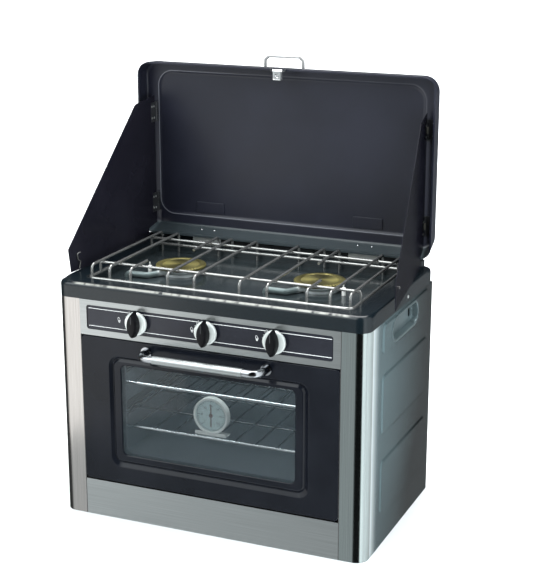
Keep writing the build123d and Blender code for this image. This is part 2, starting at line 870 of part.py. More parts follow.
def screen_clip(side, splay):
    """Bent wire clip that turns in the windscreen's lower front corner."""
    radius = 1.0
    along, outward = screen_place(side, splay)
    eye_r, eye_z = clip_eye()
    offset = screen_sheet / 2 + 1.9
    origin = Vector(side * screen_hinge_x, y_in(screen_hinge_in), 0)

    def place(r, z, out):
        return origin + Vector(*along) * r + Vector(*outward) * out + Vector(0, 0, z)

    shape = [(eye_r, eye_z), (eye_r + 10, eye_z - 1), (eye_r + 8, eye_z - 12), (eye_r + 1, eye_z - 15)]
    shape.append((eye_r + 5, rim_top + 3.4))
    points = [place(eye_r, eye_z, screen_sheet / 2 + 2.0)] + [place(r, z, -offset) for r, z in shape]
    path = FilletPolyline(*points, radius=1.6)
    rod = sweep(Plane(origin=path @ 0, z_dir=path % 0) * Circle(radius), path=path)
    head_start = place(eye_r, eye_z, screen_sheet / 2 + 0.5)
    head = extrude(Plane(origin=head_start, z_dir=Vector(*outward)) * Circle(2.0), 1.2)
    return rod + head


# Pan grate


def pan_grate():
    """Welded chrome wire grate that stands in the well on its bent legs."""
    r = grate_wire / 2
    frame_r = grate_frame_wire / 2
    reach = r + frame_r - grate_weld
    edge_x = well_half - sheet - grate_frame_gap - frame_r
    edge_v = well_front + sheet + grate_frame_gap + frame_r
    front_v = edge_v + reach
    back_v = grate_frame_back + reach
    outer_x = edge_x - reach
    foot = tray_floor + rest_gap
    top = rim_top + grate_top_over_rim - r
    cross = top - 2 * r + grate_weld
    frame_z = rim_top + grate_frame_z
    corner = [(0, edge_v, frame_z), (edge_x, edge_v, frame_z)]
    corner += [(edge_x, grate_frame_back, frame_z), (0, grate_frame_back, frame_z)]
    half = wire(corner, frame_r, (grate_front_r, grate_rear_r))
    pieces = [half, mirror(half, Plane.YZ)]
    for row in grate_rows + (outer_x,):
        for x in (-row, row):
            rod = [(x, front_v, foot), (x, front_v, top), (x, back_v, top), (x, back_v, foot)]
            pieces.append(wire(rod, r, grate_bend))
    for side in (-1, 1):
        x = side * grate_prong_front
        pieces.append(wire([(x, front_v, foot), (x, front_v, top), (x, grate_prong_front_end, top)], r, grate_bend))
        x = side * grate_prong_rear
        pieces.append(wire([(x, back_v, foot), (x, back_v, top), (x, grate_prong_rear_end, top)], r, grate_bend))
    for v in (grate_bar_front, grate_bar_back):
        end = frame_z + 1
        pieces.append(wire([(-edge_x, v, end), (-edge_x, v, cross), (edge_x, v, cross), (edge_x, v, end)], r, 4))
    return fuse_all(pieces)


# Door


def door_outline(inset):
    """Door seen from the front, drawn in by an inset."""
    half = post_inner - door_gap - inset
    return panel(-half, half, door_bottom + inset, door_top - inset, max(door_r - inset, 1))


def window_outline(grow):
    """Window seen from the front, let out by an amount."""
    half = window_half + grow
    return panel(-half, half, window_bottom - grow, window_top + grow, window_r + grow)


def groove_outline(inset):
    """Outer edge of the groove pressed round the window."""
    half = groove_half - inset
    return panel(-half, half, groove_bottom + inset, groove_top - inset, groove_r - inset)


def door_frame():
    """Pressed black door skin with a grooved border round the window."""
    skin = facing(door_outline(0), door_face, door_wall_back)
    skin = fillet(skin.faces().sort_by(Axis.Y)[0].edges(), 1.8)
    skin = skin - facing(door_outline(door_sheet), door_face + door_sheet, door_wall_back)
    ridge = facing(groove_outline(-1), door_face + 0.6, door_face + 2 * door_sheet)
    ridge = ridge - facing(groove_outline(groove_width + 1), door_face, door_face + 2 * door_sheet)
    groove = facing(groove_outline(0), door_face, door_face + door_sheet)
    groove = groove - facing(groove_outline(groove_width), door_face, door_face + door_sheet)
    skin = skin + ridge - groove
    skin = skin - facing(window_outline(0), door_face - 1, door_face + 3)
    reach = post_inner - door_gap
    for side in (-1, 1):
        inner_end = (side * (reach - 20), pivot_in, pivot_z)
        skin = skin - bar(inner_end, (side * (reach + 5), pivot_in, pivot_z), pivot_r)
    return skin


def door_glass():
    """Tinted pane behind the door skin."""
    near = door_face + door_sheet
    return facing(window_outline(glass_lap), near, near + glass_thick)


def door_inner_panel():
    """Inner door sheet with its own window and a raised border."""
    sheet_in = facing(door_outline(door_sheet + 0.2), door_wall_back - 1.2, door_wall_back)
    rise = facing(door_outline(16), door_wall_back, door_wall_back + 2)
    rise = rise - facing(door_outline(17), door_wall_back - 1.2, door_wall_back + 1)
    both = sheet_in + rise
    return both - facing(window_outline(2), door_wall_back - 2, door_wall_back + 3)


def door_seal():
    """Woven seal round the inner door sheet."""
    near = door_wall_back
    ring = facing(door_outline(6), near, door_back - 0.2) - facing(door_outline(11), near, door_back - 0.2)
    return ring


def door_handle_tube():
    """Satin grip tube."""
    return bar((-handle_half, -handle_out, handle_z), (handle_half, -handle_out, handle_z), handle_r)


def door_handle_ends():
    """Bright elbows that carry the grip tube on the door."""
    ends = []
    for side in (-1, 1):
        grip_end = (side * handle_half, -handle_out, handle_z)
        elbow = (side * handle_foot_x, -handle_out, handle_z)
        rod = wire([grip_end, elbow, (side * handle_foot_x, door_face - 0.5, handle_z)], handle_r - 0.8, 17)
        foot = facing(Pos(side * handle_foot_x, handle_z) * Circle(9), door_face - 3, door_face)
        ends.append(rod + foot)
    return group(ends)


def door_pivots():
    """Stub pins at the door's lower corners."""
    pins = []
    reach = post_inner - door_gap
    for side in (-1, 1):
        inner_end = (side * (reach - 14), pivot_in, pivot_z)
        pins.append(bar(inner_end, (side * (reach + 3.5), pivot_in, pivot_z), pivot_r))
    return group(pins)


# Knobs


def lens(half, wide):
    """Pointed oval made of two arcs."""
    bulge = wide / 2
    right = ThreePointArc((0, -half), (bulge, 0), (0, half))
    left = ThreePointArc((0, half), (-bulge, 0), (0, -half))
    return make_face([right, left])


def knob_skirt(x):
    """Bright domed disc of a knob, open in the middle for the grip."""
    centre = Pos(x, knob_z)
    disc = facing(centre * Circle(knob_skirt_r), knob_back - 5.5, knob_back)
    disc = fillet(disc.faces().sort_by(Axis.Y)[0].edges(), 3.5)
    disc = disc - facing(centre * lens(grip_half, grip_width), knob_back - 6, knob_back - skirt_floor)
    return disc - facing(centre * Circle(stem_r + stem_fit), knob_back - 6, knob_back + 1)


def knob_grip(x):
    """Black lens-shaped grip of a knob, bored for the stem."""
    centre = Pos(x, knob_z)
    grip = facing(centre * lens(grip_half, grip_width), knob_back - knob_reach, knob_back - skirt_floor)
    grip = fillet(grip.faces().sort_by(Axis.Y)[0].edges(), 1.5)
    return grip - facing(centre * Circle(stem_r + stem_fit), knob_back - 9, knob_back + 1)


def valve_stem(x):
    """Round spindle between a knob and its valve."""
    return bar((x, knob_back - 8.5, knob_z), (x, stem_back, knob_z), stem_r)


def nodes():
    """Every sub-part by its node name."""
    shapes = {
        "base_pan": base_pan(),
        "left_side_panel": side_panel(-1),
        "right_side_panel": side_panel(1),
        "carry_cups": carry_cups(),
        "back_panel": back_panel(),
        "left_corner_post": corner_post(-1),
        "right_corner_post": corner_post(1),
        "kick_panel": kick_panel(),
        "control_fascia": control_fascia(),
        "control_inset": control_inset(),
        "top_rim": top_rim(),
        "cooktop_tray": cooktop_tray(),
        "oven_liner": oven_liner(),
        "oven_floor_plate": oven_floor_plate(),
        "oven_burner": oven_burner(),
        "rack_runners": rack_runners(),
        "upper_rack": rack(upper_rack_z),
        "lower_rack": rack(lower_rack_z),
        "thermometer_case": thermometer_case(),
        "thermometer_dial": thermometer_dial(),
        "thermometer_needle": thermometer_needle(),
        "burner_bodies": burner_bodies(),
        "burner_caps": burner_caps(),
        "igniter_electrodes": igniter_electrodes(),
        "gas_manifold": gas_manifold(),
        "gas_valves": gas_valves(),
        "gas_inlet": gas_inlet(),
        "lid_shell": lid_shell(),
        "lid_handle": lid_handle(),
        "lid_hinge_brackets": lid_hinge_brackets(),
        "lid_hinge_pins": lid_hinge_pins(),
        "lid_hinge_leaves": lid_hinge_leaves(),
        "lid_side_leaves": lid_side_leaves(),
        "latch_staple": latch_staple(),
        "lid_latch": lid_latch(),
        "left_windscreen": windscreen(-1, left_splay),
        "left_screen_leaves": screen_leaves(-1, left_splay),
        "left_screen_clip": screen_clip(-1, left_splay),
        "right_windscreen": windscreen(1, right_splay),
        "right_screen_leaves": screen_leaves(1, right_splay),
        "right_screen_clip": screen_clip(1, right_splay),
        "pan_grate": pan_grate(),
        "door_frame": door_frame(),
        "door_glass": door_glass(),
        "door_inner_panel": door_inner_panel(),
        "door_seal": door_seal(),
        "door_handle_tube": door_handle_tube(),
        "door_handle_ends": door_handle_ends(),
        "door_pivots": door_pivots(),
    }
    for place, x in zip(("left", "middle", "right"), knob_xs):
        shapes[place + "_knob"] = knob_grip(x)
        shapes[place + "_knob_skirt"] = knob_skirt(x)
        shapes[place + "_valve_stem"] = valve_stem(x)
    return shapes


os.makedirs("parts", exist_ok=True)
for name, shape in nodes().items():
    export_step(shape, "parts/" + name + ".step")
    print(name, round(shape.volume, 1))
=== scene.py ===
"""Looks of a portable gas stove with an oven: finishes, pressed panels, wires and small parts.

+X is to the right as the user faces the door, +Y runs to the back, +Z is up. Shapes are worked out in
millimetres and made in metres. Finishes, settings and the studio's lights are in metres.
"""

import math

import bmesh
import bpy
import numpy as np
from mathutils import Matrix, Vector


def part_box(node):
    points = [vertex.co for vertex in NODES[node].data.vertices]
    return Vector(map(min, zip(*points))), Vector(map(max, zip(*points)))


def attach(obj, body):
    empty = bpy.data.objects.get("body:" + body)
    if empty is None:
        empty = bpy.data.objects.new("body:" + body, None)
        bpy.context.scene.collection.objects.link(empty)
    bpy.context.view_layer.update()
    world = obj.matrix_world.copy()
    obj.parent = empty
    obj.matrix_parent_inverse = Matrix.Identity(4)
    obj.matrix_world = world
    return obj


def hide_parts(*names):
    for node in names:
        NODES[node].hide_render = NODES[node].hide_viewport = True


bl_info = {
    "name": "Portable gas stove with oven",
    "version": (1, 0, 0),
    "blender": (4, 5, 0),
    "location": "3D View > Sidebar > Stove",
    "description": "Dresses the packed stove with its finishes, pressed sheet, wires and small parts",
    "category": "Object",
}

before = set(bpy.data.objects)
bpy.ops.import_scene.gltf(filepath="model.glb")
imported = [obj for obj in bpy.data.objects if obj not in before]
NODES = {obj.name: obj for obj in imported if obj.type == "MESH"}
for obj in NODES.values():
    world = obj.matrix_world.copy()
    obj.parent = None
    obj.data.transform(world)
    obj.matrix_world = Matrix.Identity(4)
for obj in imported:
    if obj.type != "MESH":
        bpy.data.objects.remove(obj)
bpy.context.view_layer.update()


def extent(node):
    """A node's lowest and highest corners at rest in millimetres, to a thousandth."""
    return [[round(value * 1000.0, 3) for value in corner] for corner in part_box(node)]


RIM_LOW, RIM_HIGH = extent("top_rim")
FRONT, SIDE, BACK = RIM_LOW[1], RIM_HIGH[0], RIM_HIGH[1]
RACK_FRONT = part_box("upper_rack")[0][1]
BURNER_X, BURNER_Y = 124.0, FRONT + 165.0
CAP_RADIUS = 42.0
KNOBS = {"left": -119.0, "middle": 2.0, "right": 117.0}
KNOB_Z = 343.5
OPENING = (FRONT + 172.0, 345.0)
HINGE_X = 146.0
LEAF_HEIGHTS = (463.0, 623.0)
LEAF_RIVETS = (-10.0, 10.0)
# Windscreens: side of the stove, splay in degrees, and finish
SCREENS = {"left": (-1, 3.65, "left_screen_black"), "right": (1, 8.8, "screen_black")}
SCREEN_PIN = (247.0, 321.5)


# Settings


def colour_setting(name, description, default):
    """A colour that the sidebar shows."""
    return bpy.props.FloatVectorProperty(
        name=name, description=description, default=default, subtype="COLOR", size=3)


def length_setting(name, description, default):
    """A length in metres that the sidebar shows."""
    return bpy.props.FloatProperty(name=name, description=description, default=default, unit="LENGTH")


class StoveSettings(bpy.types.PropertyGroup):
    """Colours and small sizes of the stove."""

    side_colour: colour_setting("Sides", "Colour of the side panels", (0.150, 0.215, 0.232))
    lid_colour: colour_setting("Lid", "Colour of the lid", (0.014, 0.015, 0.025))
    rim_colour: colour_setting("Rim", "Colour of the cooktop's rim", (0.005, 0.009, 0.012))
    door_colour: colour_setting("Door", "Colour of the door's skin", (0.004, 0.005, 0.008))
    cap_colour: colour_setting("Burner caps", "Colour of the brass", (0.74, 0.66, 0.25))
    glass_colour: colour_setting("Glass", "Tint of the door's window", (0.035, 0.05, 0.058))
    print_colour: colour_setting("Print", "Colour of the marks by the knobs", (0.75, 0.76, 0.76))
    sheet: length_setting("Sheet", "Thickness of the lid and the door's skin", 0.001)
    side_sheet: length_setting("Side sheet", "Thickness of the side panels", 0.0009)
    stripe: length_setting("Stripe", "Width of the lines on the control panel", 0.0009)
    screw: length_setting("Screw", "Radius of the back panel's screw heads", 0.003)
    rivet: length_setting("Rivet", "Radius of the lid's rivet heads", 0.0022)


class StudioSettings(bpy.types.PropertyGroup):
    """Camera and light of the studio."""

    lens: bpy.props.FloatProperty(
        name="Lens", description="Focal length of the camera in millimetres", default=89.15, unit="CAMERA")
    pitch: bpy.props.FloatProperty(
        name="Pitch", description="How far the camera looks down", default=math.radians(16.11),
        subtype="ANGLE")
    yaw: bpy.props.FloatProperty(
        name="Yaw", description="How far the camera is turned to the left", default=math.radians(23.21),
        subtype="ANGLE")
    stand: bpy.props.FloatVectorProperty(
        name="Stand", description="Where the camera stands", default=(0.9244, -2.06835, 1.0208),
        subtype="TRANSLATION", unit="LENGTH")
    floor: colour_setting("Floor", "Colour of the floor", (0.86, 0.87, 0.88))
    sky_front: bpy.props.FloatProperty(
        name="Front wall", description="Strength of the room's light in front", default=0.85)
    sky_back: bpy.props.FloatProperty(
        name="Room", description="Strength of the room's light all round", default=0.07)
    sky_right: bpy.props.FloatProperty(
        name="Right wall", description="Strength of the light on the right", default=1.1)
    sky_rear: bpy.props.FloatProperty(
        name="Rear wall", description="Strength of the light behind", default=0.26)


def look():
    """The stove's colours and sizes as the scene holds them."""
    return bpy.context.scene.stove_look


# Shader maths


class Field:
    """A value in a shader graph that adds its own Math nodes when it is used in an expression."""

    def __init__(self, graph, socket):
        self.graph = graph
        self.socket = socket

    def _math(self, operation, first, second=None):
        values = {0: first} if second is None else {0: first, 1: second}
        return self.graph.node("ShaderNodeMath", {"operation": operation}, values)

    def __add__(self, other):
        return self._math("ADD", self, other)

    def __radd__(self, other):
        return self._math("ADD", other, self)

    def __sub__(self, other):
        return self._math("SUBTRACT", self, other)

    def __rsub__(self, other):
        return self._math("SUBTRACT", other, self)

    def __mul__(self, other):
        return self._math("MULTIPLY", self, other)

    def __rmul__(self, other):
        return self._math("MULTIPLY", other, self)

    def __pow__(self, other):
        return self._math("POWER", self, other)

    def __abs__(self):
        return self._math("ABSOLUTE", self)

    def wave(self, operation):
        """SINE or COSINE of the value."""
        return self._math(operation, self)

    def at_least(self, other):
        """The larger of the two values."""
        return self._math("MAXIMUM", self, other)

    def angle_from(self, other):
        """Angle whose tangent is this value over the other."""
        return self._math("ARCTAN2", self, other)

    def ramp(self, low, high):
        """Smooth step from 0 at low to 1 at high."""
        settings = {"interpolation_type": "SMOOTHSTEP"}
        return self.graph.node("ShaderNodeMapRange", settings, {0: self, 1: low, 2: high, 3: 0.0, 4: 1.0})


class Graph:
    """A tree of shader nodes."""

    def __init__(self, tree):
        self.tree = tree

    def node(self, kind, settings=None, inputs=None, output=0):
        """Any node: its settings first, then values or links for its inputs."""
        made = self.tree.nodes.new(kind)
        for key, value in (settings or {}).items():
            setattr(made, key, value)
        for key, value in (inputs or {}).items():
            if isinstance(value, Field):
                self.tree.links.new(value.socket, made.inputs[key])
            else:
                made.inputs[key].default_value = value
        return Field(self, made.outputs[output])


class Finish(Graph):
    """A material with one Principled shader, whose sockets are set by name."""

    def __init__(self, name, **constants):
        self.material = bpy.data.materials.new(name)
        self.material.use_nodes = True
        super().__init__(self.material.node_tree)
        self.shader = self.tree.nodes["Principled BSDF"]
        for key, value in constants.items():
            self.set(key.replace("_", " "), value)

    def set(self, key, value):
        """Sets or links a socket of the shader."""
        if isinstance(value, Field):
            self.tree.links.new(value.socket, self.shader.inputs[key])
        elif key == "Base Color":
            self.shader.inputs[key].default_value = (*value[:3], 1.0)
        else:
            self.shader.inputs[key].default_value = value

    def place(self, stretch=(1, 1, 1)):
        """Object coordinates, stretched along each axis."""
        where = self.node("ShaderNodeTexCoord", None, None, "Object")
        return self.node("ShaderNodeVectorMath", {"operation": "MULTIPLY"}, {0: where, 1: stretch})

    def axis(self, name):
        """One object coordinate in metres."""
        where = self.node("ShaderNodeTexCoord", None, None, "Object")
        return self.node("ShaderNodeSeparateXYZ", None, {0: where}, name)

    def noise(self, scale, detail=2.0, stretch=(1, 1, 1), rough=0.5):
        """Fractal noise on object coordinates."""
        values = {"Vector": self.place(stretch), "Scale": scale, "Detail": detail, "Roughness": rough}
        return self.node("ShaderNodeTexNoise", None, values, "Fac")

    def blend(self, mask, first, second):
        """Goes with a mask from first, a colour or a field of colours, to the colour second."""
        start = first if isinstance(first, Field) else (*first, 1.0)
        inputs = {0: mask, 6: start, 7: (*second, 1.0)}
        return self.node("ShaderNodeMix", {"data_type": "RGBA"}, inputs, 2)

    def bump(self, height, distance, strength):
        """Feeds the shader's normal from a height in 0 to 1."""
        values = {"Height": height, "Distance": distance, "Strength": strength}
        self.set("Normal", self.node("ShaderNodeBump", None, values))

    def orange_peel(self):
        """Faint orange peel of a baked coat."""
        self.bump(self.noise(420.0, 1.0), 0.00003, 0.5)

    def from_burner(self):
        """Part ahead of the nearer burner's centre, and the distance from it."""
        across = abs(self.axis("X")) - BURNER_X / 1000.0
        ahead = self.axis("Y") - BURNER_Y / 1000.0
        return ahead, (across * across + ahead * ahead) ** 0.5


# Finishes


def share(tone, part):
    """A colour made darker or lighter."""
    return [c * part for c in tone]


def brushed(name, along, tone, rough, flank=False):
    """Brushed stainless sheet: streaks along one axis over a slow smudge, duller on a post's side flange."""
    finish = Finish(name, Metallic=1.0)
    if flank:
        finish.set("Metallic", 1.0 - finish.axis("Y").ramp(-0.156, -0.150) * 0.6)
    stretch = [900.0, 900.0, 900.0]
    stretch["XYZ".index(along)] = 7.0
    lines = finish.noise(1.0, 3.0, stretch, 0.6)
    smudge = finish.noise(9.0, 2.0)
    finish.set("Base Color", finish.blend(lines.ramp(0.25, 0.75), share(tone, 0.9), share(tone, 1.1)))
    finish.set("Roughness", rough - 0.04 + lines * 0.08 + smudge * 0.06)
    finish.bump(lines, 0.00002, 0.35)
    return finish.material


def enamel(name, tone, rough, metallic=0.0, gloss=0.5):
    """Baked enamel or paint: an even coat with faint orange peel, and dull patches from handling."""
    finish = Finish(name, Metallic=metallic, Specular_IOR_Level=gloss)
    handled = finish.noise(11.0, 3.0)
    light = [c * 1.35 + 0.002 for c in tone]
    finish.set("Base Color", finish.blend(handled.ramp(0.3, 0.75), tone, light))
    finish.set("Roughness", rough + (handled - 0.5) * 0.12)
    finish.orange_peel()
    return finish.material


def lit_wall(name, tone, low_tone, field_highlight_tone):
    """Enamel with a paler lower wall, and a painted highlight along the pressed field's edge, strongest at the
    left and below.

    The edge is where |(max(|x| - a, 0), max(|z - c| - b, 0))|, the distance from a rectangle, is near r.
    """
    finish = Finish(name)
    half_width, half_height, centre, corner = 0.216, 0.0995, 0.5685, 0.0272
    across, height = finish.axis("X"), finish.axis("Z")
    handled = finish.noise(11.0, 3.0)
    side = (abs(across) - half_width).at_least(0.0)
    rise = (abs(height - centre) - half_height).at_least(0.0)
    away = abs((side * side + rise * rise) ** 0.5 - corner)
    weight = (0.0 - across).ramp(0.05, 0.20).at_least(1.0 - height.ramp(0.445, 0.50))
    # Painted highlight: a pale line along the pressed field's edge, strongest at the left and below.
    line = (1.0 - away.ramp(0.0003, 0.0011)) * (weight * 0.8 + 0.2)
    cloud = finish.blend(handled.ramp(0.3, 0.75), tone, share(tone, 1.3))
    walled = finish.blend(1.0 - height.ramp(0.4245, 0.4275), cloud, low_tone)
    finish.set("Base Color", finish.blend(line, walled, field_highlight_tone))
    finish.set("Roughness", 0.34 + (handled - 0.5) * 0.1)
    finish.orange_peel()
    return finish.material


def rim_highlight(name, tone, rim_highlight_tone):
    """Rim enamel with a painted highlight in short runs along the round front edge of the cooktop."""
    finish = Finish(name, Specular_IOR_Level=0.42)
    front = FRONT / 1000.0
    ahead, height = finish.axis("Y"), finish.axis("Z")
    # Painted highlight: the round front edge is painted pale in short runs, between the corners.
    edge = height.ramp(0.3940, 0.3952) * (1.0 - ahead.ramp(front + 0.0034, front + 0.0048))
    between = 1.0 - abs(finish.axis("X")).ramp(0.226, 0.240)
    runs = finish.noise(1.0, 2.0, (70.0, 20.0, 20.0)).ramp(0.34, 0.52) * between
    handled = finish.noise(11.0, 3.0)
    finish.set("Base Color", finish.blend(edge * runs, tone, rim_highlight_tone))
    finish.set("Roughness", 0.22 + (handled - 0.5) * 0.12)
    finish.orange_peel()
    return finish.material


def spun(name, tone):
    """Machined brass with fine turning rings about each burner's centre, a warm stain, and a painted fan of
    highlight and dark reflection.
    """
    finish = Finish(name, Metallic=0.86)
    ahead, radius = finish.from_burner()
    centre = BURNER_X / 1000.0
    ring = (radius * 9000.0).wave("SINE")
    stain = finish.noise(45.0, 3.0)
    side = finish.axis("X").ramp(-0.001, 0.001) * (2 * centre) - centre
    angle = ahead.angle_from(finish.axis("X") - side)
    fan = ((angle * 2.0 - 0.5).wave("COSINE") * 0.5 + 0.5) ** 2.0
    dish = 1.0 - radius.ramp(0.0300, 0.0312)
    # Painted highlight and painted dark reflection in the fan, stronger in the dish, with the warm stain added
    # on top.
    mask = fan * (0.35 + dish * 0.5) + stain.ramp(0.35, 0.8) * 0.22
    finish.set("Base Color", finish.blend(mask, share(tone, 0.13), tone))
    finish.set("Roughness", 0.30 + stain * 0.16)
    finish.bump(ring * 0.5 + 0.5, 0.00003, 0.5)
    return finish.material


def shaded(name, tone, rough):
    """Side enamel with a metallic flake: a painted highlight at the bend by the post, which is also less
    metallic, and painted shade towards the back and the foot.
    """
    finish = Finish(name)
    depth = finish.axis("Y").ramp(-0.15, 0.17)
    foot = 1.0 - finish.axis("Z").ramp(-0.08, 0.30)
    handled = finish.noise(9.0, 3.0)
    # Painted shade: the coat darkens towards the back and the foot, with a faint random mottle.
    shade = depth * 0.98 + foot * 0.42 + (handled - 0.5) * 0.12
    painted_shade_coat = finish.blend(shade, tone, share(tone, 0.07))
    # Painted highlight: a pale, less metallic band at the bend by the post.
    bend = 1.0 - finish.axis("Y").ramp(-0.148, -0.100)
    finish.set("Metallic", 0.6 - bend * 0.45)
    finish.set("Base Color", finish.blend(bend * 0.8, painted_shade_coat, (0.80, 0.85, 0.85)))
    finish.set("Roughness", rough + (handled - 0.5) * 0.10)
    finish.orange_peel()
    return finish.material


def polished(name, tone, rough, metallic=1.0):
    """Bright plated wire or rod with faint drawing marks."""
    finish = Finish(name, Metallic=metallic)
    cloud = finish.noise(60.0, 2.0)
    finish.set("Base Color", finish.blend(cloud.ramp(0.3, 0.7), [c * 0.9 for c in tone], tone))
    finish.set("Roughness", rough + cloud * 0.08)
    return finish.material


def cast(name, tone, rough):
    """Sand-cast or die-cast metal with a grainy skin."""
    finish = Finish(name, Metallic=1.0)
    grain = finish.noise(900.0, 3.0)
    stain = finish.noise(40.0, 3.0)
    finish.set("Base Color", finish.blend(stain.ramp(0.3, 0.8), tone, [c * 0.7 for c in tone]))
    finish.set("Roughness", rough + grain * 0.12)
    finish.bump(grain, 0.00008, 0.6)
    return finish.material


def rack_chrome(name, tone):
    """Rack wire: bright along the front, painted darker further in as shade inside the oven."""
    finish = Finish(name, Metallic=0.95)
    # Painted shade: the wires further in are darkened, standing for the shade inside the oven.
    inside = finish.axis("Y").ramp(RACK_FRONT + 0.004, RACK_FRONT + 0.010)
    cloud = finish.noise(60.0, 2.0)
    finish.set("Base Color", finish.blend(inside * (0.9 + cloud * 0.1), tone, [c * 0.16 for c in tone]))
    finish.set("Roughness", 0.14 + cloud * 0.08)
    return finish.material


def burner_cast(name, tone):
    """Cast aluminium burner: pale at the head under the cap, dull and grey-green along the mixing tube."""
    finish = Finish(name, Metallic=0.55)
    tube_mask = finish.from_burner()[1].ramp(0.040, 0.050)
    grain = finish.noise(900.0, 3.0)
    dull = [tone[0] * 0.22, tone[1] * 0.27, tone[2] * 0.27]
    finish.set("Base Color", finish.blend(tube_mask * 0.85 + grain * 0.15, tone, dull))
    finish.set("Roughness", 0.34 + grain * 0.12)
    finish.bump(grain, 0.00008, 0.6)
    return finish.material


def glass(name, tone, alpha, scale, smear):
    """Smoked or clear pane with faint smears."""
    finish = Finish(name, IOR=1.5, Alpha=alpha, Base_Color=tone)
    finish.set("Roughness", 0.03 + finish.noise(scale, 2.0) * smear)
    return finish.material


def glossy_plastic(name, tone, rough, gloss=0.5):
    """Moulded plastic, ceramic or ink with a fine grain."""
    finish = Finish(name, Specular_IOR_Level=gloss)
    grain = finish.noise(1500.0, 2.0)
    finish.set("Base Color", finish.blend(grain.ramp(0.3, 0.7), tone, share(tone, 1.2)))
    finish.set("Roughness", rough + grain * 0.1)
    finish.bump(grain, 0.00001, 0.4)
    return finish.material


FINISHES = {
    "slate_enamel": lambda: shaded("slate_enamel", look().side_colour, 0.24),
    "recess_enamel": lambda: enamel("recess_enamel", (0.13, 0.17, 0.18), 0.28, metallic=0.6),
    # The rim's second colour is the painted highlight on its round front edge.
    "rim_enamel": lambda: rim_highlight("rim_enamel", look().rim_colour, (0.34, 0.34, 0.31)),
    # The two windscreens are one black enamel. The right one is painted darker and set less glossy, as shade
    # against the light on the right.
    "screen_black": lambda: enamel("screen_black", (0.005, 0.005, 0.009), 0.24, gloss=0.09),
    "left_screen_black": lambda: enamel("left_screen_black", (0.0115, 0.011, 0.017), 0.24, gloss=0.2),
    "elbow_chrome": lambda: polished("elbow_chrome", (0.40, 0.41, 0.43), 0.09),
    "pull_chrome": lambda: polished("pull_chrome", (0.58, 0.58, 0.58), 0.16, 0.7),
    "panel_black": lambda: enamel("panel_black", (0.013, 0.014, 0.020), 0.20, gloss=0.32),
    "bead_black": lambda: enamel("bead_black", (0.15, 0.155, 0.15), 0.16, metallic=0.8),
    "door_black": lambda: enamel("door_black", look().door_colour, 0.16, gloss=0.20),
    # The lid's last colour is the painted highlight on the pressed field's edge.
    "lid_enamel": lambda: lit_wall(
        "lid_enamel", look().lid_colour, (0.036, 0.048, 0.054), (0.15, 0.155, 0.18)),
    "leaf_grey": lambda: enamel("leaf_grey", (0.05, 0.052, 0.056), 0.32, metallic=0.5),
    "leaf_pale": lambda: enamel("leaf_pale", (0.22, 0.21, 0.18), 0.30, metallic=0.5),
    "brass_cap": lambda: spun("brass_cap", look().cap_colour),
    "upright_steel": lambda: brushed("upright_steel", "Z", (0.37, 0.415, 0.41), 0.12, flank=True),
    "left_post_steel": lambda: brushed("left_post_steel", "Z", (0.41, 0.39, 0.375), 0.13, flank=True),
    "level_steel": lambda: brushed("level_steel", "X", (0.40, 0.42, 0.42), 0.30),
    "dark_steel": lambda: enamel("dark_steel", (0.02, 0.024, 0.026), 0.42, metallic=0.3),
    "oven_enamel": lambda: enamel("oven_enamel", (0.10, 0.115, 0.13), 0.38, metallic=0.3),
    "tray_enamel": lambda: enamel("tray_enamel", (0.022, 0.029, 0.032), 0.16),
    "chrome": lambda: polished("chrome", (0.80, 0.81, 0.82), 0.08),
    "wire_chrome": lambda: polished("wire_chrome", (0.37, 0.37, 0.36), 0.17, 0.74),
    "rack_wire": lambda: rack_chrome("rack_wire", (0.54, 0.57, 0.59)),
    "brass": lambda: cast("brass", (0.62, 0.49, 0.20), 0.24),
    "casting": lambda: burner_cast("casting", (0.66, 0.70, 0.70)),
    "ceramic": lambda: glossy_plastic("ceramic", (0.85, 0.84, 0.80), 0.25),
    "dial_white": lambda: glossy_plastic("dial_white", (0.40, 0.52, 0.52), 0.5),
    "needle_brown": lambda: glossy_plastic("needle_brown", (0.10, 0.05, 0.04), 0.4),
    "black_plastic": lambda: glossy_plastic("black_plastic", (0.004, 0.004, 0.005), 0.26, 0.16),
    "hinge_zinc": lambda: enamel("hinge_zinc", (0.62, 0.64, 0.62), 0.30, metallic=0.35),
    "silver_skirt": lambda: enamel("silver_skirt", (0.66, 0.70, 0.68), 0.24, metallic=0.45),
    "tinted_glass": lambda: glass("tinted_glass", look().glass_colour, 0.30, 30.0, 0.05),
    "satin_silver": lambda: polished("satin_silver", (0.62, 0.63, 0.63), 0.28),
    "clear_glass": lambda: glass("clear_glass", (0.8, 0.85, 0.86), 0.16, 60.0, 0.04),
    "print_white": lambda: glossy_plastic("print_white", look().print_colour, 0.5),
    "print_black": lambda: glossy_plastic("print_black", (0.01, 0.01, 0.012), 0.5),
    # Grey of the door's seal, also used for the painted shadow strips by the posts.
    "seal_and_shadow_grey": lambda: glossy_plastic("seal_and_shadow_grey", (0.05, 0.05, 0.05), 0.8),
}
MADE = {}


def finish_of(name):
    """The material of this name, made when it is first asked for."""
    if name not in MADE:
        MADE[name] = FINISHES[name]()
    return MADE[name]


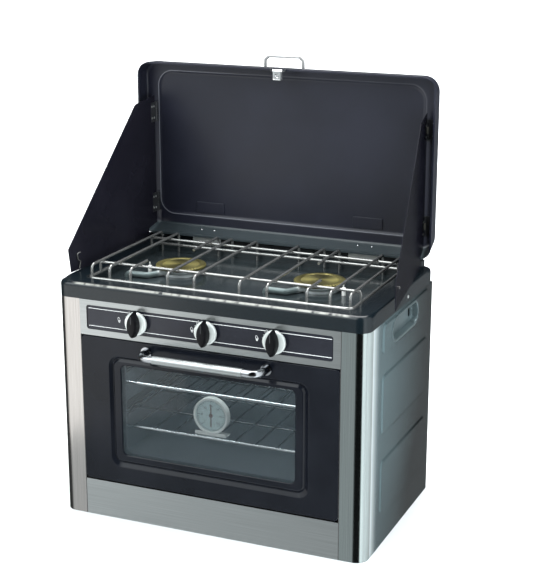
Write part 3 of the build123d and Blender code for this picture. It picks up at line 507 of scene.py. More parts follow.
NODE_FINISH = {
    "base_pan": "dark_steel", "left_side_panel": "slate_enamel", "right_side_panel": "slate_enamel",
    "carry_cups": "recess_enamel", "back_panel": "dark_steel",
    "left_corner_post": "left_post_steel", "right_corner_post": "upright_steel",
    "kick_panel": "level_steel", "control_fascia": "level_steel", "control_inset": "panel_black",
    "top_rim": "rim_enamel", "cooktop_tray": "tray_enamel",
    "oven_liner": "oven_enamel", "oven_floor_plate": "oven_enamel", "oven_burner": "dark_steel",
    "rack_runners": "dark_steel", "upper_rack": "rack_wire", "lower_rack": "rack_wire",
    "thermometer_case": "silver_skirt", "thermometer_dial": "dial_white",
    "thermometer_needle": "needle_brown",
    "burner_bodies": "casting", "burner_caps": "brass_cap", "igniter_electrodes": "ceramic",
    "gas_manifold": "dark_steel", "gas_valves": "brass", "gas_inlet": "brass",
    "lid_shell": "lid_enamel", "lid_handle": "pull_chrome", "lid_hinge_brackets": "hinge_zinc",
    "lid_hinge_pins": "hinge_zinc", "lid_hinge_leaves": "hinge_zinc", "lid_side_leaves": "leaf_grey",
    "latch_staple": "leaf_grey", "lid_latch": "chrome",
    "left_windscreen": "left_screen_black", "left_screen_leaves": "leaf_grey",
    "left_screen_clip": "wire_chrome", "right_windscreen": "screen_black",
    "right_screen_leaves": "leaf_pale", "right_screen_clip": "wire_chrome",
    "pan_grate": "wire_chrome", "door_frame": "door_black", "door_glass": "tinted_glass",
    "door_inner_panel": "oven_enamel", "door_seal": "seal_and_shadow_grey",
    "door_handle_tube": "level_steel", "door_handle_ends": "elbow_chrome", "door_pivots": "chrome",
}
for _place in KNOBS:
    NODE_FINISH[_place + "_knob"] = "black_plastic"
    NODE_FINISH[_place + "_knob_skirt"] = "silver_skirt"
    NODE_FINISH[_place + "_valve_stem"] = "brass"


class STOVE_OT_finishes(bpy.types.Operator):
    """Gives each carried-over node its finish"""

    bl_idname = "stove.finishes"
    bl_label = "Finishes"

    def execute(self, context):
        missing = sorted(set(NODES) ^ set(NODE_FINISH))
        if missing:
            raise RuntimeError("no finish for " + ", ".join(missing))
        for name, finish in NODE_FINISH.items():
            mesh = NODES[name].data
            mesh.materials.clear()
            mesh.materials.append(finish_of(finish))
        return {"FINISHED"}


# Surfaces


def bent(points, radius=0.0, steps=6, cut=None):
    """Polyline with round corners: C - t a and C + t b joined by a cubic whose handles are 4/3 r tan(w/4).

    a and b are the unit directions into and out of corner C, w is its turn, and t is r tan(w/2) or the cut.
    """
    points = np.asarray(points, float)
    leg = np.diff(points, axis=0)
    span = np.linalg.norm(leg, axis=1)
    way = leg / span[:, None]
    a, b = way[:-1], way[1:]
    turn = np.maximum(np.arccos(np.clip((a * b).sum(1), -1, 1)), 1e-3)
    room = np.minimum(span[:-1], span[1:])
    reach = radius * np.tan(turn / 2) if cut is None else np.asarray(cut) + 0 * turn
    reach = np.clip(reach, 0.02 * room, 0.45 * room)
    hold = 4 / 3 * reach / np.tan(turn / 2) * np.tan(turn / 4)
    corner = points[1:-1]
    s = np.linspace(0, 1, steps)[None, :, None]
    p0, p3 = corner - reach[:, None] * a, corner + reach[:, None] * b
    p1, p2 = p0 + hold[:, None] * a, p3 - hold[:, None] * b
    p0, p1, p2, p3 = [p[:, None] for p in (p0, p1, p2, p3)]
    arcs = (1 - s) ** 3 * p0 + 3 * (1 - s) ** 2 * s * p1 + 3 * (1 - s) * s**2 * p2 + s**3 * p3
    return np.concatenate([points[:1], arcs.reshape(-1, points.shape[1]), points[-1:]])


def tube(path, radius, normal, sides):
    """Circle carried along a path: P(s, a) = C(s) + r (cos a N + sin a B), closed at its ends.

    N is the given normal made square to the path's tangent T, and B is T x N.
    """
    path = np.asarray(path, float)
    tangent = np.gradient(path, axis=0)
    tangent /= np.linalg.norm(tangent, axis=1)[:, None]
    across = np.asarray(normal, float) - (tangent @ np.asarray(normal, float))[:, None] * tangent
    across /= np.linalg.norm(across, axis=1)[:, None]
    other = np.cross(tangent, across)
    angle = (np.arange(sides) * 2 * np.pi / sides)[None, :, None]
    grid = path[:, None] + radius * (np.cos(angle) * across[:, None] + np.sin(angle) * other[:, None])
    ends = [np.repeat(path[i][None, None], sides, 1) for i in (0, -1)]
    return {"grid": np.concatenate([ends[0], grid, ends[1]]), "around": True}


# Outward axis of a face, then the two axes across it
AXES = {
    "up": np.array([[0, 0, 1], [1, 0, 0], [0, 1, 0]], float),
    "front": np.array([[0, -1, 0], [1, 0, 0], [0, 0, 1]], float),
    "back": np.array([[0, 1, 0], [-1, 0, 0], [0, 0, 1]], float),
    "right": np.array([[1, 0, 0], [0, 1, 0], [0, 0, 1]], float),
    "left": np.array([[-1, 0, 0], [0, -1, 0], [0, 0, 1]], float),
}


def turned(profile, centre, axes, sides=48):
    """Profile turned about an axis: P(s, a) = centre + h(s) A + r(s) (cos a U + sin a V)."""
    out, u, v = axes
    profile = np.asarray(profile, float)
    angle = (np.arange(sides) * 2 * np.pi / sides)[None, :, None]
    ring = np.cos(angle) * u + np.sin(angle) * v
    radius, height = profile[:, 0][:, None, None], profile[:, 1][:, None, None]
    return {"grid": np.asarray(centre, float) + height * out + radius * ring, "around": True}


def loops(half_w, half_h, radius, per=8):
    """Round rectangles: corner centre (+-(w - r), +-(h - r)) plus r (cos a, sin a), a quarter turn each."""
    angle = (np.arange(4)[:, None] * np.pi / 2 + np.linspace(0, np.pi / 2, per)).ravel()
    side_u = np.repeat([1, -1, -1, 1], per)
    side_v = np.repeat([1, 1, -1, -1], per)
    w, h, r = [np.asarray(part, float)[:, None] for part in (half_w, half_h, radius)]
    return side_u * (w - r) + r * np.cos(angle), side_v * (h - r) + r * np.sin(angle)


def pressed(rows, facing, cut=1.0, steps=5, per=8, flip=False):
    """Sheet formed in rings: a row is half width, half height, corner radius, centre across and up, and reach.

    Rows are rounded into each other with bent. Reach is Y where the sheet faces the front, and X at a side.
    """
    rows = bent(rows, cut=cut, steps=steps)
    wide, tall = rows[:, 0], rows[:, 1]
    u, v = loops(wide, tall, np.minimum(rows[:, 2], np.minimum(wide, tall)), per)
    u, v = u + rows[:, 3][:, None], v + rows[:, 4][:, None]
    reach = np.repeat(rows[:, 5][:, None], u.shape[1], 1)
    order = {"front": (u, reach, v), "right": (reach, u, v)}
    return {"grid": np.stack(order[facing], -1), "around": True, "flip": flip}


def surface(name, patches, smooth=35.0, closed=True):
    """One mesh object from patches: grids of points in millimetres, joined round or along where they ask."""
    points, faces, start = [], [], 0
    for patch in patches:
        grid = np.asarray(patch["grid"], float)
        rows, columns = grid.shape[:2]
        i = np.arange(rows if patch.get("along") else rows - 1)[:, None]
        j = np.arange(columns if patch.get("around") else columns - 1)[None, :]
        i, j = np.broadcast_arrays(i, j)
        corners = ((0, 0), (0, 1), (1, 1), (1, 0))
        at = [((i + a) % rows * columns + (j + b) % columns).ravel() for a, b in corners]
        quads = np.stack(at, 1) + start
        faces.append(quads[:, ::-1] if patch.get("flip") else quads)
        points.append(grid.reshape(-1, 3) / 1000.0)
        start += rows * columns
    mesh = bpy.data.meshes.new(name)
    mesh.from_pydata(np.concatenate(points).tolist(), [], np.concatenate(faces).tolist())
    work = bmesh.new()
    work.from_mesh(mesh)
    bmesh.ops.remove_doubles(work, verts=work.verts, dist=2e-6)
    if closed:
        bmesh.ops.recalc_face_normals(work, faces=work.faces)
    work.to_mesh(mesh)
    work.free()
    mesh.polygons.foreach_set("use_smooth", np.ones(len(mesh.polygons), bool))
    mesh.set_sharp_from_angle(angle=math.radians(smooth))
    made = bpy.data.objects.new(name, mesh)
    bpy.context.scene.collection.objects.link(made)
    return made


def fit(piece, finish, body, replaces=(), sheet=None):
    """Gives a piece its finish, its body, the nodes it stands for and, for open sheet, its wall inwards."""
    piece.data.materials.append(finish_of(finish))
    if sheet:
        wall = piece.modifiers.new("sheet", "SOLIDIFY")
        wall.thickness = sheet
        wall.offset = -1.0
        wall.use_even_offset = True
    even = piece.modifiers.new("even", "WEIGHTED_NORMAL")
    even.keep_sharp = True
    even.weight = 100
    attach(piece, body)
    if replaces:
        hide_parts(*replaces)


def screw(centre, axes, radius, height):
    """Pan head with a cross: h = height (1 - (r/R)^4), and 0.4 of that in the cross's two slots.

    A slot is where r is under 0.6 R and the distance from U or V is under 0.165 R.
    """
    out, u, v = axes
    r = np.array([0.0, 0.16, 0.30, 0.45, 0.55, 0.62, 0.78, 0.92, 1.0, 1.0])[:, None]
    a = np.arange(24)[None, :] * 2 * np.pi / 24
    across, up = np.abs(r * np.cos(a)), np.abs(r * np.sin(a))
    crossed = (np.minimum(across, up) < 0.165) & (r < 0.6)
    tall = height * (1 - r**4) * np.where(crossed, 0.4, 1.0) + 0.02
    tall[-1] = 0.0
    place = radius * (r * np.cos(a))[..., None] * u + radius * (r * np.sin(a))[..., None] * v
    return {"grid": np.asarray(centre, float) + place + tall[..., None] * out, "around": True}


def rivet(centre, axes, radius, height, sides=16, steps=6):
    """Round head: h = height cos(t), r = R sin(t), down to the sheet."""
    t = np.linspace(0, np.pi / 2, steps)
    return turned(np.stack([radius * np.sin(t), height * np.cos(t)], 1), centre, axes, sides)


def words(name, text, size, centre, lift):
    """Text as a thin print on a surface that faces the front: (u, v) goes to (X, Z), proud of it by lift."""
    curve = bpy.data.curves.new(name, "FONT")
    curve.body = text
    curve.size = size / 1000.0
    curve.align_x = "CENTER"
    curve.align_y = "CENTER"
    holder = bpy.data.objects.new(name + "_curve", curve)
    bpy.context.scene.collection.objects.link(holder)
    mesh = bpy.data.meshes.new_from_object(holder)
    bpy.data.objects.remove(holder)
    flat = np.zeros(len(mesh.vertices) * 3)
    mesh.vertices.foreach_get("co", flat)
    u, v, _ = flat.reshape(-1, 3).T
    x, y, z = np.asarray(centre, float) / 1000.0
    placed = np.stack([x + u, np.full_like(u, y - lift / 1000.0), z + v], 1)
    mesh.vertices.foreach_set("co", placed.ravel())
    made = bpy.data.objects.new(name, mesh)
    bpy.context.scene.collection.objects.link(made)
    return made


def stroke(points, wide, y, closed=False):
    """Flat printed line in X and Z: the path's points moved half the width to each side along their normals."""
    path = np.asarray(points, float)
    run = np.gradient(path, axis=0)
    if closed:
        run = np.roll(path, -1, 0) - np.roll(path, 1, 0)
    run /= np.linalg.norm(run, axis=1)[:, None]
    side = np.stack([-run[:, 1], run[:, 0]], 1) * wide / 2
    edges = np.stack([path + side, path - side])
    grid = np.stack([edges[..., 0], np.full(edges.shape[:2], float(y)), edges[..., 1]], -1)
    return {"grid": grid, "around": closed}


# Steps


class STOVE_OT_lid(bpy.types.Operator):
    """Deep lid with a rolled hem, a round back edge and a soft pressed field"""

    bl_idname = "stove.lid"
    bl_label = "Lid"

    def execute(self, context):
        near, far = FRONT + 294.0, FRONT + 327.0
        rows = [
            (264.6, 147.6, 16.0, 0, 562.0, near + 7.5),
            (264.6, 147.6, 16.0, 0, 562.0, near + 0.6),
            (268.0, 151.0, 26.0, 0, 562.0, near + 0.6),
            (267.9, 150.7, 26.0, 0, 562.2, near + 4.0),
            (266.0, 144.0, 25.0, 0, 567.0, far),
            (244.0, 127.5, 28.0, 0, 568.5, far),
            (239.5, 123.0, 24.0, 0, 568.5, far + 2.0),
            (117.0, 0.0, 0.0, 0, 568.5, far + 2.0),
        ]
        cuts = np.array([0.8, 1.4, 1.0, 5.5, 5.0, 5.0])
        shell = pressed(rows, "front", cut=cuts, steps=7, per=12, flip=True)
        lid = surface("lid_pressing", [shell], closed=False)
        fit(lid, "lid_enamel", "lid", ["lid_shell"], sheet=look().sheet)
        plates = []
        for side in (-1, 1):
            spot = (side * HINGE_X, 457.5)
            rows = [
                (27.0, 9.5, 2.5, *spot, far + 1.0),
                (27.0, 9.5, 2.5, *spot, far - 0.6),
                (17.5, 0.0, 0.0, *spot, far - 0.6),
            ]
            plates.append(pressed(rows, "front", cut=0.8, steps=4, per=5))
        fit(surface("lid_backing_plates", plates, closed=False), "lid_enamel", "lid")
        return {"FINISHED"}


class STOVE_OT_sides(bpy.types.Operator):
    """Side sheets with three pressed fields each, and the cups behind the carry openings"""

    bl_idname = "stove.sides"
    bl_label = "Side panels"

    def pressing(self, rows, side, cut):
        """Rows given for the right side, pressed on either side."""
        return pressed([(*row[:5], side * row[5]) for row in rows], "right", cut=np.array(cut), flip=side < 0)

    def field(self, side, base, top, low, high):
        """One field of a side sheet between two heights. The highest holds the carry opening."""
        tall, along, up = (high - low) / 2, FRONT + 180, (low + high) / 2
        rows = [
            (147.5, (top - base) / 2, 0.01, FRONT + 171.5, (top + base) / 2, SIDE),
            (114.0, tall, 12.0, along, up, SIDE),
            (110.5, tall - 3.5, 8.5, along, up, SIDE + 2.0),
        ]
        if top < RIM_LOW[2]:
            return self.pressing(rows + [(114.0 - tall, 0.0, 0.0, along, up, SIDE + 2.0)], side, [7.0, 3.0])
        rows += [
            (64.4, 19.4, 19.4, *OPENING, SIDE + 2.0),
            (63.0, 18.0, 18.0, *OPENING, SIDE + 0.9),
            (63.0, 18.0, 18.0, *OPENING, SIDE - 1.0),
        ]
        return self.pressing(rows, side, [3.0, 3.0, 0.8, 0.5])

    def execute(self, context):
        sheet = look().side_sheet
        fields = ((0.0, 166.0, 53.0, 145.0), (166.0, 302.0, 187.0, 286.0), (302.0, RIM_LOW[2], 318.0, 369.0))
        for name, side in (("left", -1), ("right", 1)):
            patches = [self.field(side, *heights) for heights in fields]
            panel = surface(name + "_side_pressing", patches, closed=False)
            fit(panel, "slate_enamel", "case", [name + "_side_panel"], sheet=sheet)
        foot = (FRONT + 216, 347.0)
        rows = [
            (66.0, 21.0, 21.0, *OPENING, SIDE + 2.0),
            (65.4, 20.4, 20.4, *OPENING, SIDE + 2.8),
            (62.2, 17.2, 17.2, *OPENING, SIDE + 2.6),
            (60.6, 15.6, 15.6, *OPENING, SIDE - 7.0),
            (4.5, 8.5, 4.5, *foot, SIDE - 7.0),
            (4.5, 8.5, 4.5, *foot, SIDE - 8.0),
        ]
        cups = [self.pressing(rows, side, [0.3, 1.0, 2.6, 0.3]) for side in (-1, 1)]
        made = surface("carry_cup_pressings", cups, closed=False)
        fit(made, "recess_enamel", "case", ["carry_cups"], sheet=sheet)
        return {"FINISHED"}


class STOVE_OT_rim(bpy.types.Operator):
    """Rolled bead round the well, squared side edges, ends of the rear strip and painted shadow lines by the
    posts
    """

    bl_idname = "stove.rim"
    bl_label = "Rim"

    def bead(self):
        """Half round carried about the well: P(s, a) = C(s) + r (cos a N + sin a up), with r = 1."""
        across, along = loops([231.3], [133.35], [13.6], per=10)
        path = np.stack([across[0], along[0] + FRONT + 163.25, np.full(across.shape[1], 396.7)], 1)
        way = np.roll(path, -1, 0) - np.roll(path, 1, 0)
        way /= np.linalg.norm(way, axis=1)[:, None]
        out = np.stack([way[:, 1], -way[:, 0], 0 * way[:, 0]], 1)[:, None]
        angle = np.linspace(-0.15, np.pi + 0.15, 9)[None, :, None]
        grid = path[:, None] + np.cos(angle) * out + np.sin(angle) * AXES["up"][0]
        return {"grid": grid, "along": True}

    def strip_end(self, side):
        """Three heights of the rear strip carried round its corner, the upper two rising to the front."""
        line = bent([(235.0, 317.0), (252.0, 317.0), (252.0, 291.0)], radius=9.0, steps=8)
        lift = np.clip((314.0 - line[:, 1]) / 12.0, 0, 1)[:, None] * np.array([0.0, 3.2, 3.2])
        height = np.array([397.0, 407.0, 408.0]) + lift
        x, y = side * np.repeat(line[:, :1], 3, 1), np.repeat(line[:, 1:], 3, 1) + FRONT
        return {"grid": np.stack([x, y, height], -1), "flip": side > 0}

    def edge_ridge(self, side):
        """Side edge as a superellipse: x = a + r sin(t)^p and z = b + r cos(t)^p.

        The power p falls from 1 at both ends to 0.36 over the first and last 20 mm.
        """
        near, far, radius = 21.0, 300.0, 7.04
        along = np.linspace(near, far, 48)[:, None]
        rise = np.clip(np.minimum(along - near, far - along) / 20.0, 0, 1)
        power = 1.0 - 0.64 * rise**2 * (3 - 2 * rise)
        turn = np.linspace(0.0, np.pi / 2, 17)[None, :]
        x = SIDE - 7.0 + radius * np.sin(turn) ** power
        z = 390.5 + radius * np.cos(turn) ** power
        return {"grid": np.stack([side * x, FRONT + along + 0 * x, z], -1), "flip": side > 0}

    def execute(self, context):
        fit(surface("well_bead", [self.bead()], closed=False), "bead_black", "case")
        ends = surface("rim_strip_ends", [self.strip_end(side) for side in (-1, 1)], closed=False)
        fit(ends, "rim_enamel", "case", sheet=0.0011)
        ridges = surface("rim_edge_ridges", [self.edge_ridge(side) for side in (-1, 1)], closed=False)
        fit(ridges, "rim_enamel", "case")
        edge = extent("kick_panel")[1][0]
        low, high = extent("right_corner_post")[0][2] + 0.5, RIM_LOW[2]
        # Painted shadow: a thin dark strip at each post's inner edge, where the gap by the door is in shade.
        gap_shadows = [stroke([(side * edge, low), (side * edge, high)], 1.3, FRONT - 0.06) for side in (-1, 1)]
        fit(surface("post_gap_shadows", gap_shadows, closed=False), "seal_and_shadow_grey", "case")
        return {"FINISHED"}


class STOVE_OT_door(bpy.types.Operator):
    """Door skin with round edges, a soft groove and a rolled window edge"""

    bl_idname = "stove.door"
    bl_label = "Door"

    def execute(self, context):
        face = FRONT - 2.0
        rows = [
            (221.5, 123.0, 6.0, 0, 188.5, FRONT + 15.0),
            (221.5, 123.0, 6.0, 0, 188.5, face),
            (171.8, 95.0, 18.0, 0.4, 188.0, face),
            (166.8, 89.8, 14.6, 0, 189.9, face + 3.4),
            (165.8, 88.8, 13.6, 0, 189.9, face + 3.4),
            (162.6, 84.6, 9.6, 0, 190.0, face),
            (151.2, 78.2, 10.2, 0, 192.5, face),
            (150.0, 77.0, 9.0, 0, 192.5, face + 0.9),
            (150.0, 77.0, 9.0, 0, 192.5, face + 1.15),
        ]
        cuts = np.array([2.0, 1.6, 0.45, 0.45, 1.4, 0.7, 0.2])
        skin = surface("door_pressing", [pressed(rows, "front", cut=cuts, steps=6, per=10)], closed=False)
        fit(skin, "door_black", "door", ["door_frame"], sheet=look().sheet)
        return {"FINISHED"}


def lens_rows(half, wide, count=20):
    """Outline of two arcs through (0, +-half) and (+-b, 0): centre c = (half^2 - b^2) / 2b past the middle."""
    b = wide / 2
    c = (half**2 - b**2) / (2 * b)
    radius = b + c
    tip = math.atan2(half, c)
    a = np.linspace(-tip, tip, count, endpoint=False)
    right = np.stack([radius * np.cos(a) - c, radius * np.sin(a)], 1)
    return np.concatenate([right, -right])


class STOVE_OT_knobs(bpy.types.Operator):
    """Grips with a raised spine and a pointer line"""

    bl_idname = "stove.knobs"
    bl_label = "Knobs"

    def execute(self, context):
        back = FRONT - 4.8
        outline = lens_rows(21.5, 19.0)
        levels = [(1.0, 1.5), (1.0, 6.0), (0.93, 14.5), (0.86, 18.2), (0.55, 18.5), (0.004, 18.5)]
        levels = bent(levels, cut=np.array([1.0, 1.0, 1.6, 0.3]), steps=5)
        scale, reach = levels[:, :1], levels[:, 1:]
        u, v = outline[:, 0] * scale**1.6, outline[:, 1] * scale
        for place, x in KNOBS.items():
            grid = np.stack([x + u, back - reach + 0 * u, KNOB_Z + v], -1)
            grip = surface(place + "_grip", [{"grid": grid, "around": True}], smooth=40.0)
            fit(grip, "black_plastic", place + "_knob_turn", [place + "_knob"])
            line = stroke([(x, KNOB_Z + 3.5), (x, KNOB_Z + 16.0)], 1.1, back - 18.56)
            fit(surface(place + "_pointer", [line], closed=False), "leaf_grey", place + "_knob_turn")
        return {"FINISHED"}


class STOVE_OT_caps(bpy.types.Operator):
    """Brass burner caps with slots round the edge and a raised centre"""

    bl_idname = "stove.caps"
    bl_label = "Burner caps"

    def height(self, r, a):
        """Outline f(r) - 1.1 e(r) (1 + tanh(4 cos 48a)) / 2 - 0.35 m(r) (1 + cos 24a) / 2.

        The second term makes the slots and the third the ribs. e rises from 0 to 1 towards the edge, and m is 1
        between the centre and the ring.
        """
        knots = [0, 6, 8, 12, 24, 28, 31, 33, 35, 38.5, CAP_RADIUS]
        rise = np.interp(r, knots, [5.2, 5.2, 4.6, 4.5, 5.0, 5.3, 4.2, 5.8, 6.0, 5.6, 4.2])
        rise[-5:] = [3.4, 1.8, 0.6, 0.0, 0.0]
        tooth = 0.5 + 0.5 * np.tanh(4 * np.cos(48 * a))
        edge = np.clip((r - 36.5) / 2.5, 0, 1) * (np.arange(len(r)) < len(r) - 3)
        mask = np.clip((r - 12) / 5, 0, 1) * np.clip((34 - r) / 4, 0, 1)
        ribs = 0.5 + 0.5 * np.cos(24 * a)
        return rise[:, None] - 1.1 * edge[:, None] * tooth - 0.35 * mask[:, None] * ribs

    def execute(self, context):
        top = [0, 3, 6, 8, 9, 12, 15, 17, 20, 24, 28, 31, 33, 35, 37, 38.5, 40, 41, 41.7]
        r = np.array(top + [CAP_RADIUS] * 3 + [40, 34])
        sides = 192
        a = np.arange(sides) * 2 * np.pi / sides
        z = extent("burner_caps")[0][2] + self.height(r, a)
        patches = []
        for side in (-1, 1):
            x, y = side * BURNER_X + r[:, None] * np.cos(a), BURNER_Y + r[:, None] * np.sin(a)
            grid = np.stack([x, y, z], -1)
            patches.append({"grid": grid, "around": True})
        caps = surface("burner_cap_castings", patches, smooth=50.0, closed=False)
        fit(caps, "brass_cap", "case", ["burner_caps"])
        return {"FINISHED"}


class STOVE_OT_thermometer(bpy.types.Operator):
    """Rolled bezel, lens, dial ring, ticks and numbers of the oven thermometer"""

    bl_idname = "stove.thermometer"
    bl_label = "Thermometer"

    def execute(self, context):
        x, y, z = -8.0, FRONT + 29.0, 193.0
        edge = [(26.2, -3.4), (26.2, 0.2), (30.0, 0.2), (30.2, -3.0), (30.0, -10.8)]
        bezel = turned(bent(edge, cut=np.array([0.9, 1.5, 0.8])), (x, y, z), AXES["front"])
        fit(surface("thermometer_bezel", [bezel], closed=False), "silver_skirt", "shelf_low")
        lens = turned([(26.6, -0.6), (20, -0.2), (10, 0.0), (0.01, 0.05)], (x, y, z), AXES["front"])
        fit(surface("thermometer_lens", [lens], closed=False), "clear_glass", "shelf_low")
        face, centre = y + 2.95, np.array([x, z])
        ticks = []
        for index, angle in enumerate(np.radians(225 - np.linspace(0, 270, 31))):
            way = np.array([math.cos(angle), math.sin(angle)])
            start, wide = (19.6, 0.8) if index % 5 == 0 else (21.6, 0.45)
            ticks.append(stroke([centre + way * start, centre + way * 24.2], wide, face))
        rim_a = np.linspace(0, 2 * np.pi, 96, endpoint=False)
        circle = np.stack([x + 24.6 * np.cos(rim_a), z + 24.6 * np.sin(rim_a)], 1)
        ticks.append(stroke(circle, 0.6, face, closed=True))
        marks = surface("thermometer_ticks", ticks, closed=False)
        fit(marks, "print_black", "shelf_low")
        for index, value in enumerate(("0", "50", "100", "150", "200", "250", "300")):
            angle = math.radians(225 - 45 * index)
            spot = (x + 16.3 * math.cos(angle), face, z + 16.3 * math.sin(angle))
            number = words("thermometer_number_" + value, value, 4.4, spot, 0.02)
            fit(number, "print_black", "shelf_low")
        return {"FINISHED"}


class STOVE_OT_controls(bpy.types.Operator):
    """Pinstripes, flame signs and turning marks printed on the control panel"""

    bl_idname = "stove.controls"
    bl_label = "Control markings"

    def execute(self, context):
        plate, half, stripe = FRONT + 0.54, 207.5, look().stripe * 1000.0
        lines = [stroke([(-half, z), (0.0, z), (half, z)], stripe, plate) for z in (357.6, 328.6)]
        a = 2 * np.pi * np.linspace(0, 1, 33)[:-1]
        size = 3.6 * (0.62 + 0.38 * np.sin(a - 0.5)) + 0.7 * np.cos(3 * a)
        for x in (-152.0, -24.0, 86.0):
            flame = np.stack([x + 0.8 * size * np.cos(a), 343.0 + 1.25 * size * np.sin(a)], 1)
            lines.append(stroke(flame, 0.55, plate, closed=True))
            drop = np.stack([x + 1.1 * np.cos(a), 341.6 + 1.7 * np.sin(a)], 1)
            lines.append(stroke(drop, 0.9, plate, closed=True))
        first, last, ring = 90, 216, 20.6
        for x in KNOBS.values():
            centre = np.array([x, KNOB_Z])
            for degree in np.arange(first, last, 14):
                way = np.array([math.cos(math.radians(degree)), math.sin(math.radians(degree))])
                reach = 1.2 + (degree - first) / (last - first) * 1.4
                lines.append(stroke([centre + way * ring, centre + way * (ring + reach)], 0.5, plate))
        prints = surface("control_prints", lines, closed=False)
        fit(prints, "print_white", "case")
        return {"FINISHED"}


def screen_axes(side, splay):
    """Unit vectors along a windscreen from its pin, and outwards from it."""
    angle = math.radians(splay)
    way = np.array([side * math.sin(angle), -math.cos(angle), 0.0])
    return way, np.array([side * math.cos(angle), math.sin(angle), 0.0])


def on_screen(side, splay, along, height, out):
    """Point on a windscreen: along it from its pin, up, and outwards from its middle."""
    way, outward = screen_axes(side, splay)
    return np.array([side * SCREEN_PIN[0], FRONT + SCREEN_PIN[1], height]) + way * along + outward * out


class STOVE_OT_screens(bpy.types.Operator):
    """Lower hems that carry the windscreens down to the rim"""

    bl_idname = "stove.screens"
    bl_label = "Windscreen hems"

    def execute(self, context):
        ends = (35.2, 275.9)
        rows = ((398.9, 0.42), (397.8, 0.42), (397.8, -0.42), (398.9, -0.42))
        for name, (side, splay, finish) in SCREENS.items():
            grid = np.array([[on_screen(side, splay, along, z, out) for along in ends] for z, out in rows])
            hem = surface(name + "_screen_hem", [{"grid": grid}], closed=False)
            fit(hem, finish, name + "_screen")
        return {"FINISHED"}


class STOVE_OT_fasteners(bpy.types.Operator):
    """Rivets of the windscreens and hinges, and the screws of the case"""

    bl_idname = "stove.fasteners"
    bl_label = "Fasteners"

    def screen_rivets(self, side, splay):
        """Two rows of rivets by each leaf, on both faces of a windscreen."""
        up = np.array([0.0, 0.0, 1.0])
        heads = []
        for z in [leaf + step for leaf in LEAF_HEIGHTS for step in LEAF_RIVETS]:
            for along in (8.6, 15.4):
                for face, out in ((1, 0.5), (-1, -1.5)):
                    outward = screen_axes(side, splay)[1] * face
                    axes = (outward, up, np.cross(outward, up))
                    heads.append(rivet(on_screen(side, splay, along, z, out), axes, 2.0, 0.9, 12, 5))
        return heads

    def lid_rivets(self, side, radius):
        """Rivets of the leaves, inside and outside the lid, and of one hinge."""
        heads = []
        for z in [leaf + step for leaf in LEAF_HEIGHTS for step in LEAF_RIVETS]:
            heads.append(rivet((side * 257.0, FRONT + 324.9, z), AXES["front"], radius, 1.0))
            heads.append(rivet((side * 257.0, FRONT + 327.1, z), AXES["back"], radius, 1.0))
        for step in (-12.5, 12.5):
            heads.append(rivet((side * HINGE_X + step, FRONT + 317.0, 420.0), AXES["up"], 2.4, 1.5))
        return heads

    def case_screws(self, side, radius):
        """Screws of the back panel, the rim's side and the rear strip, on one side."""
        heads = [screw((side * 256.0, BACK, z), AXES["back"], radius, 1.2) for z in (14.0, 190.0, 350.0)]
        facing = AXES["right" if side > 0 else "left"]
        heads.append(screw((side * SIDE, FRONT + 188.0, 380.0), facing, 2.8, 1.1))
        heads += [screw((side * x, BACK, 362.0), AXES["back"], radius, 1.2) for x in (60.0, 180.0)]
        strip = (FRONT + 313.2, 398.7)
        heads += [screw((side * HINGE_X + x, *strip), AXES["up"], 2.4, 1.1) for x in (-18.0, 18.0)]
        return heads

    def execute(self, context):
        for name, (side, splay, _) in SCREENS.items():
            rivets = surface(name + "_screen_rivets", self.screen_rivets(side, splay))
            fit(rivets, "satin_silver", name + "_screen")
        radius = look().rivet * 1000.0
        lid = [head for side in (-1, 1) for head in self.lid_rivets(side, radius)]
        fit(surface("lid_rivets", lid), "chrome", "lid")
        radius = look().screw * 1000.0
        case = [head for side in (-1, 1) for head in self.case_screws(side, radius)]
        fit(surface("case_screws", case), "satin_silver", "case")
        return {"FINISHED"}


class STOVE_OT_latch(bpy.types.Operator):
    """Catch plate with a dimple and a rolled eye"""

    bl_idname = "stove.latch"
    bl_label = "Latch"

    def execute(self, context):
        x, face = -3.0, FRONT + 287.9
        rows = [
            (8.3, 8.2, 2.0, x, 702.4, face + 1.5),
            (8.3, 8.2, 2.6, x, 702.4, face + 0.5),
            (6.6, 6.5, 2.2, x, 702.4, face),
            (3.6, 3.6, 3.6, x, 702.0, face),
            (2.8, 2.8, 2.8, x, 702.0, face + 0.8),
            (0.0, 0.0, 0.0, x, 702.0, face + 0.8),
        ]
        plate = pressed(rows, "front", cut=np.array([0.5, 0.6, 0.3, 0.3]), steps=4, per=6)
        eye = [(x + step, FRONT + 291.0, 709.0) for step in (-8.4, 0.0, 8.4)]
        roll = tube(eye, 3.0, (0, 0, 1), 20)
        fit(surface("latch_plate", [plate, roll], closed=False), "chrome", "latch", ["lid_latch"])
        return {"FINISHED"}


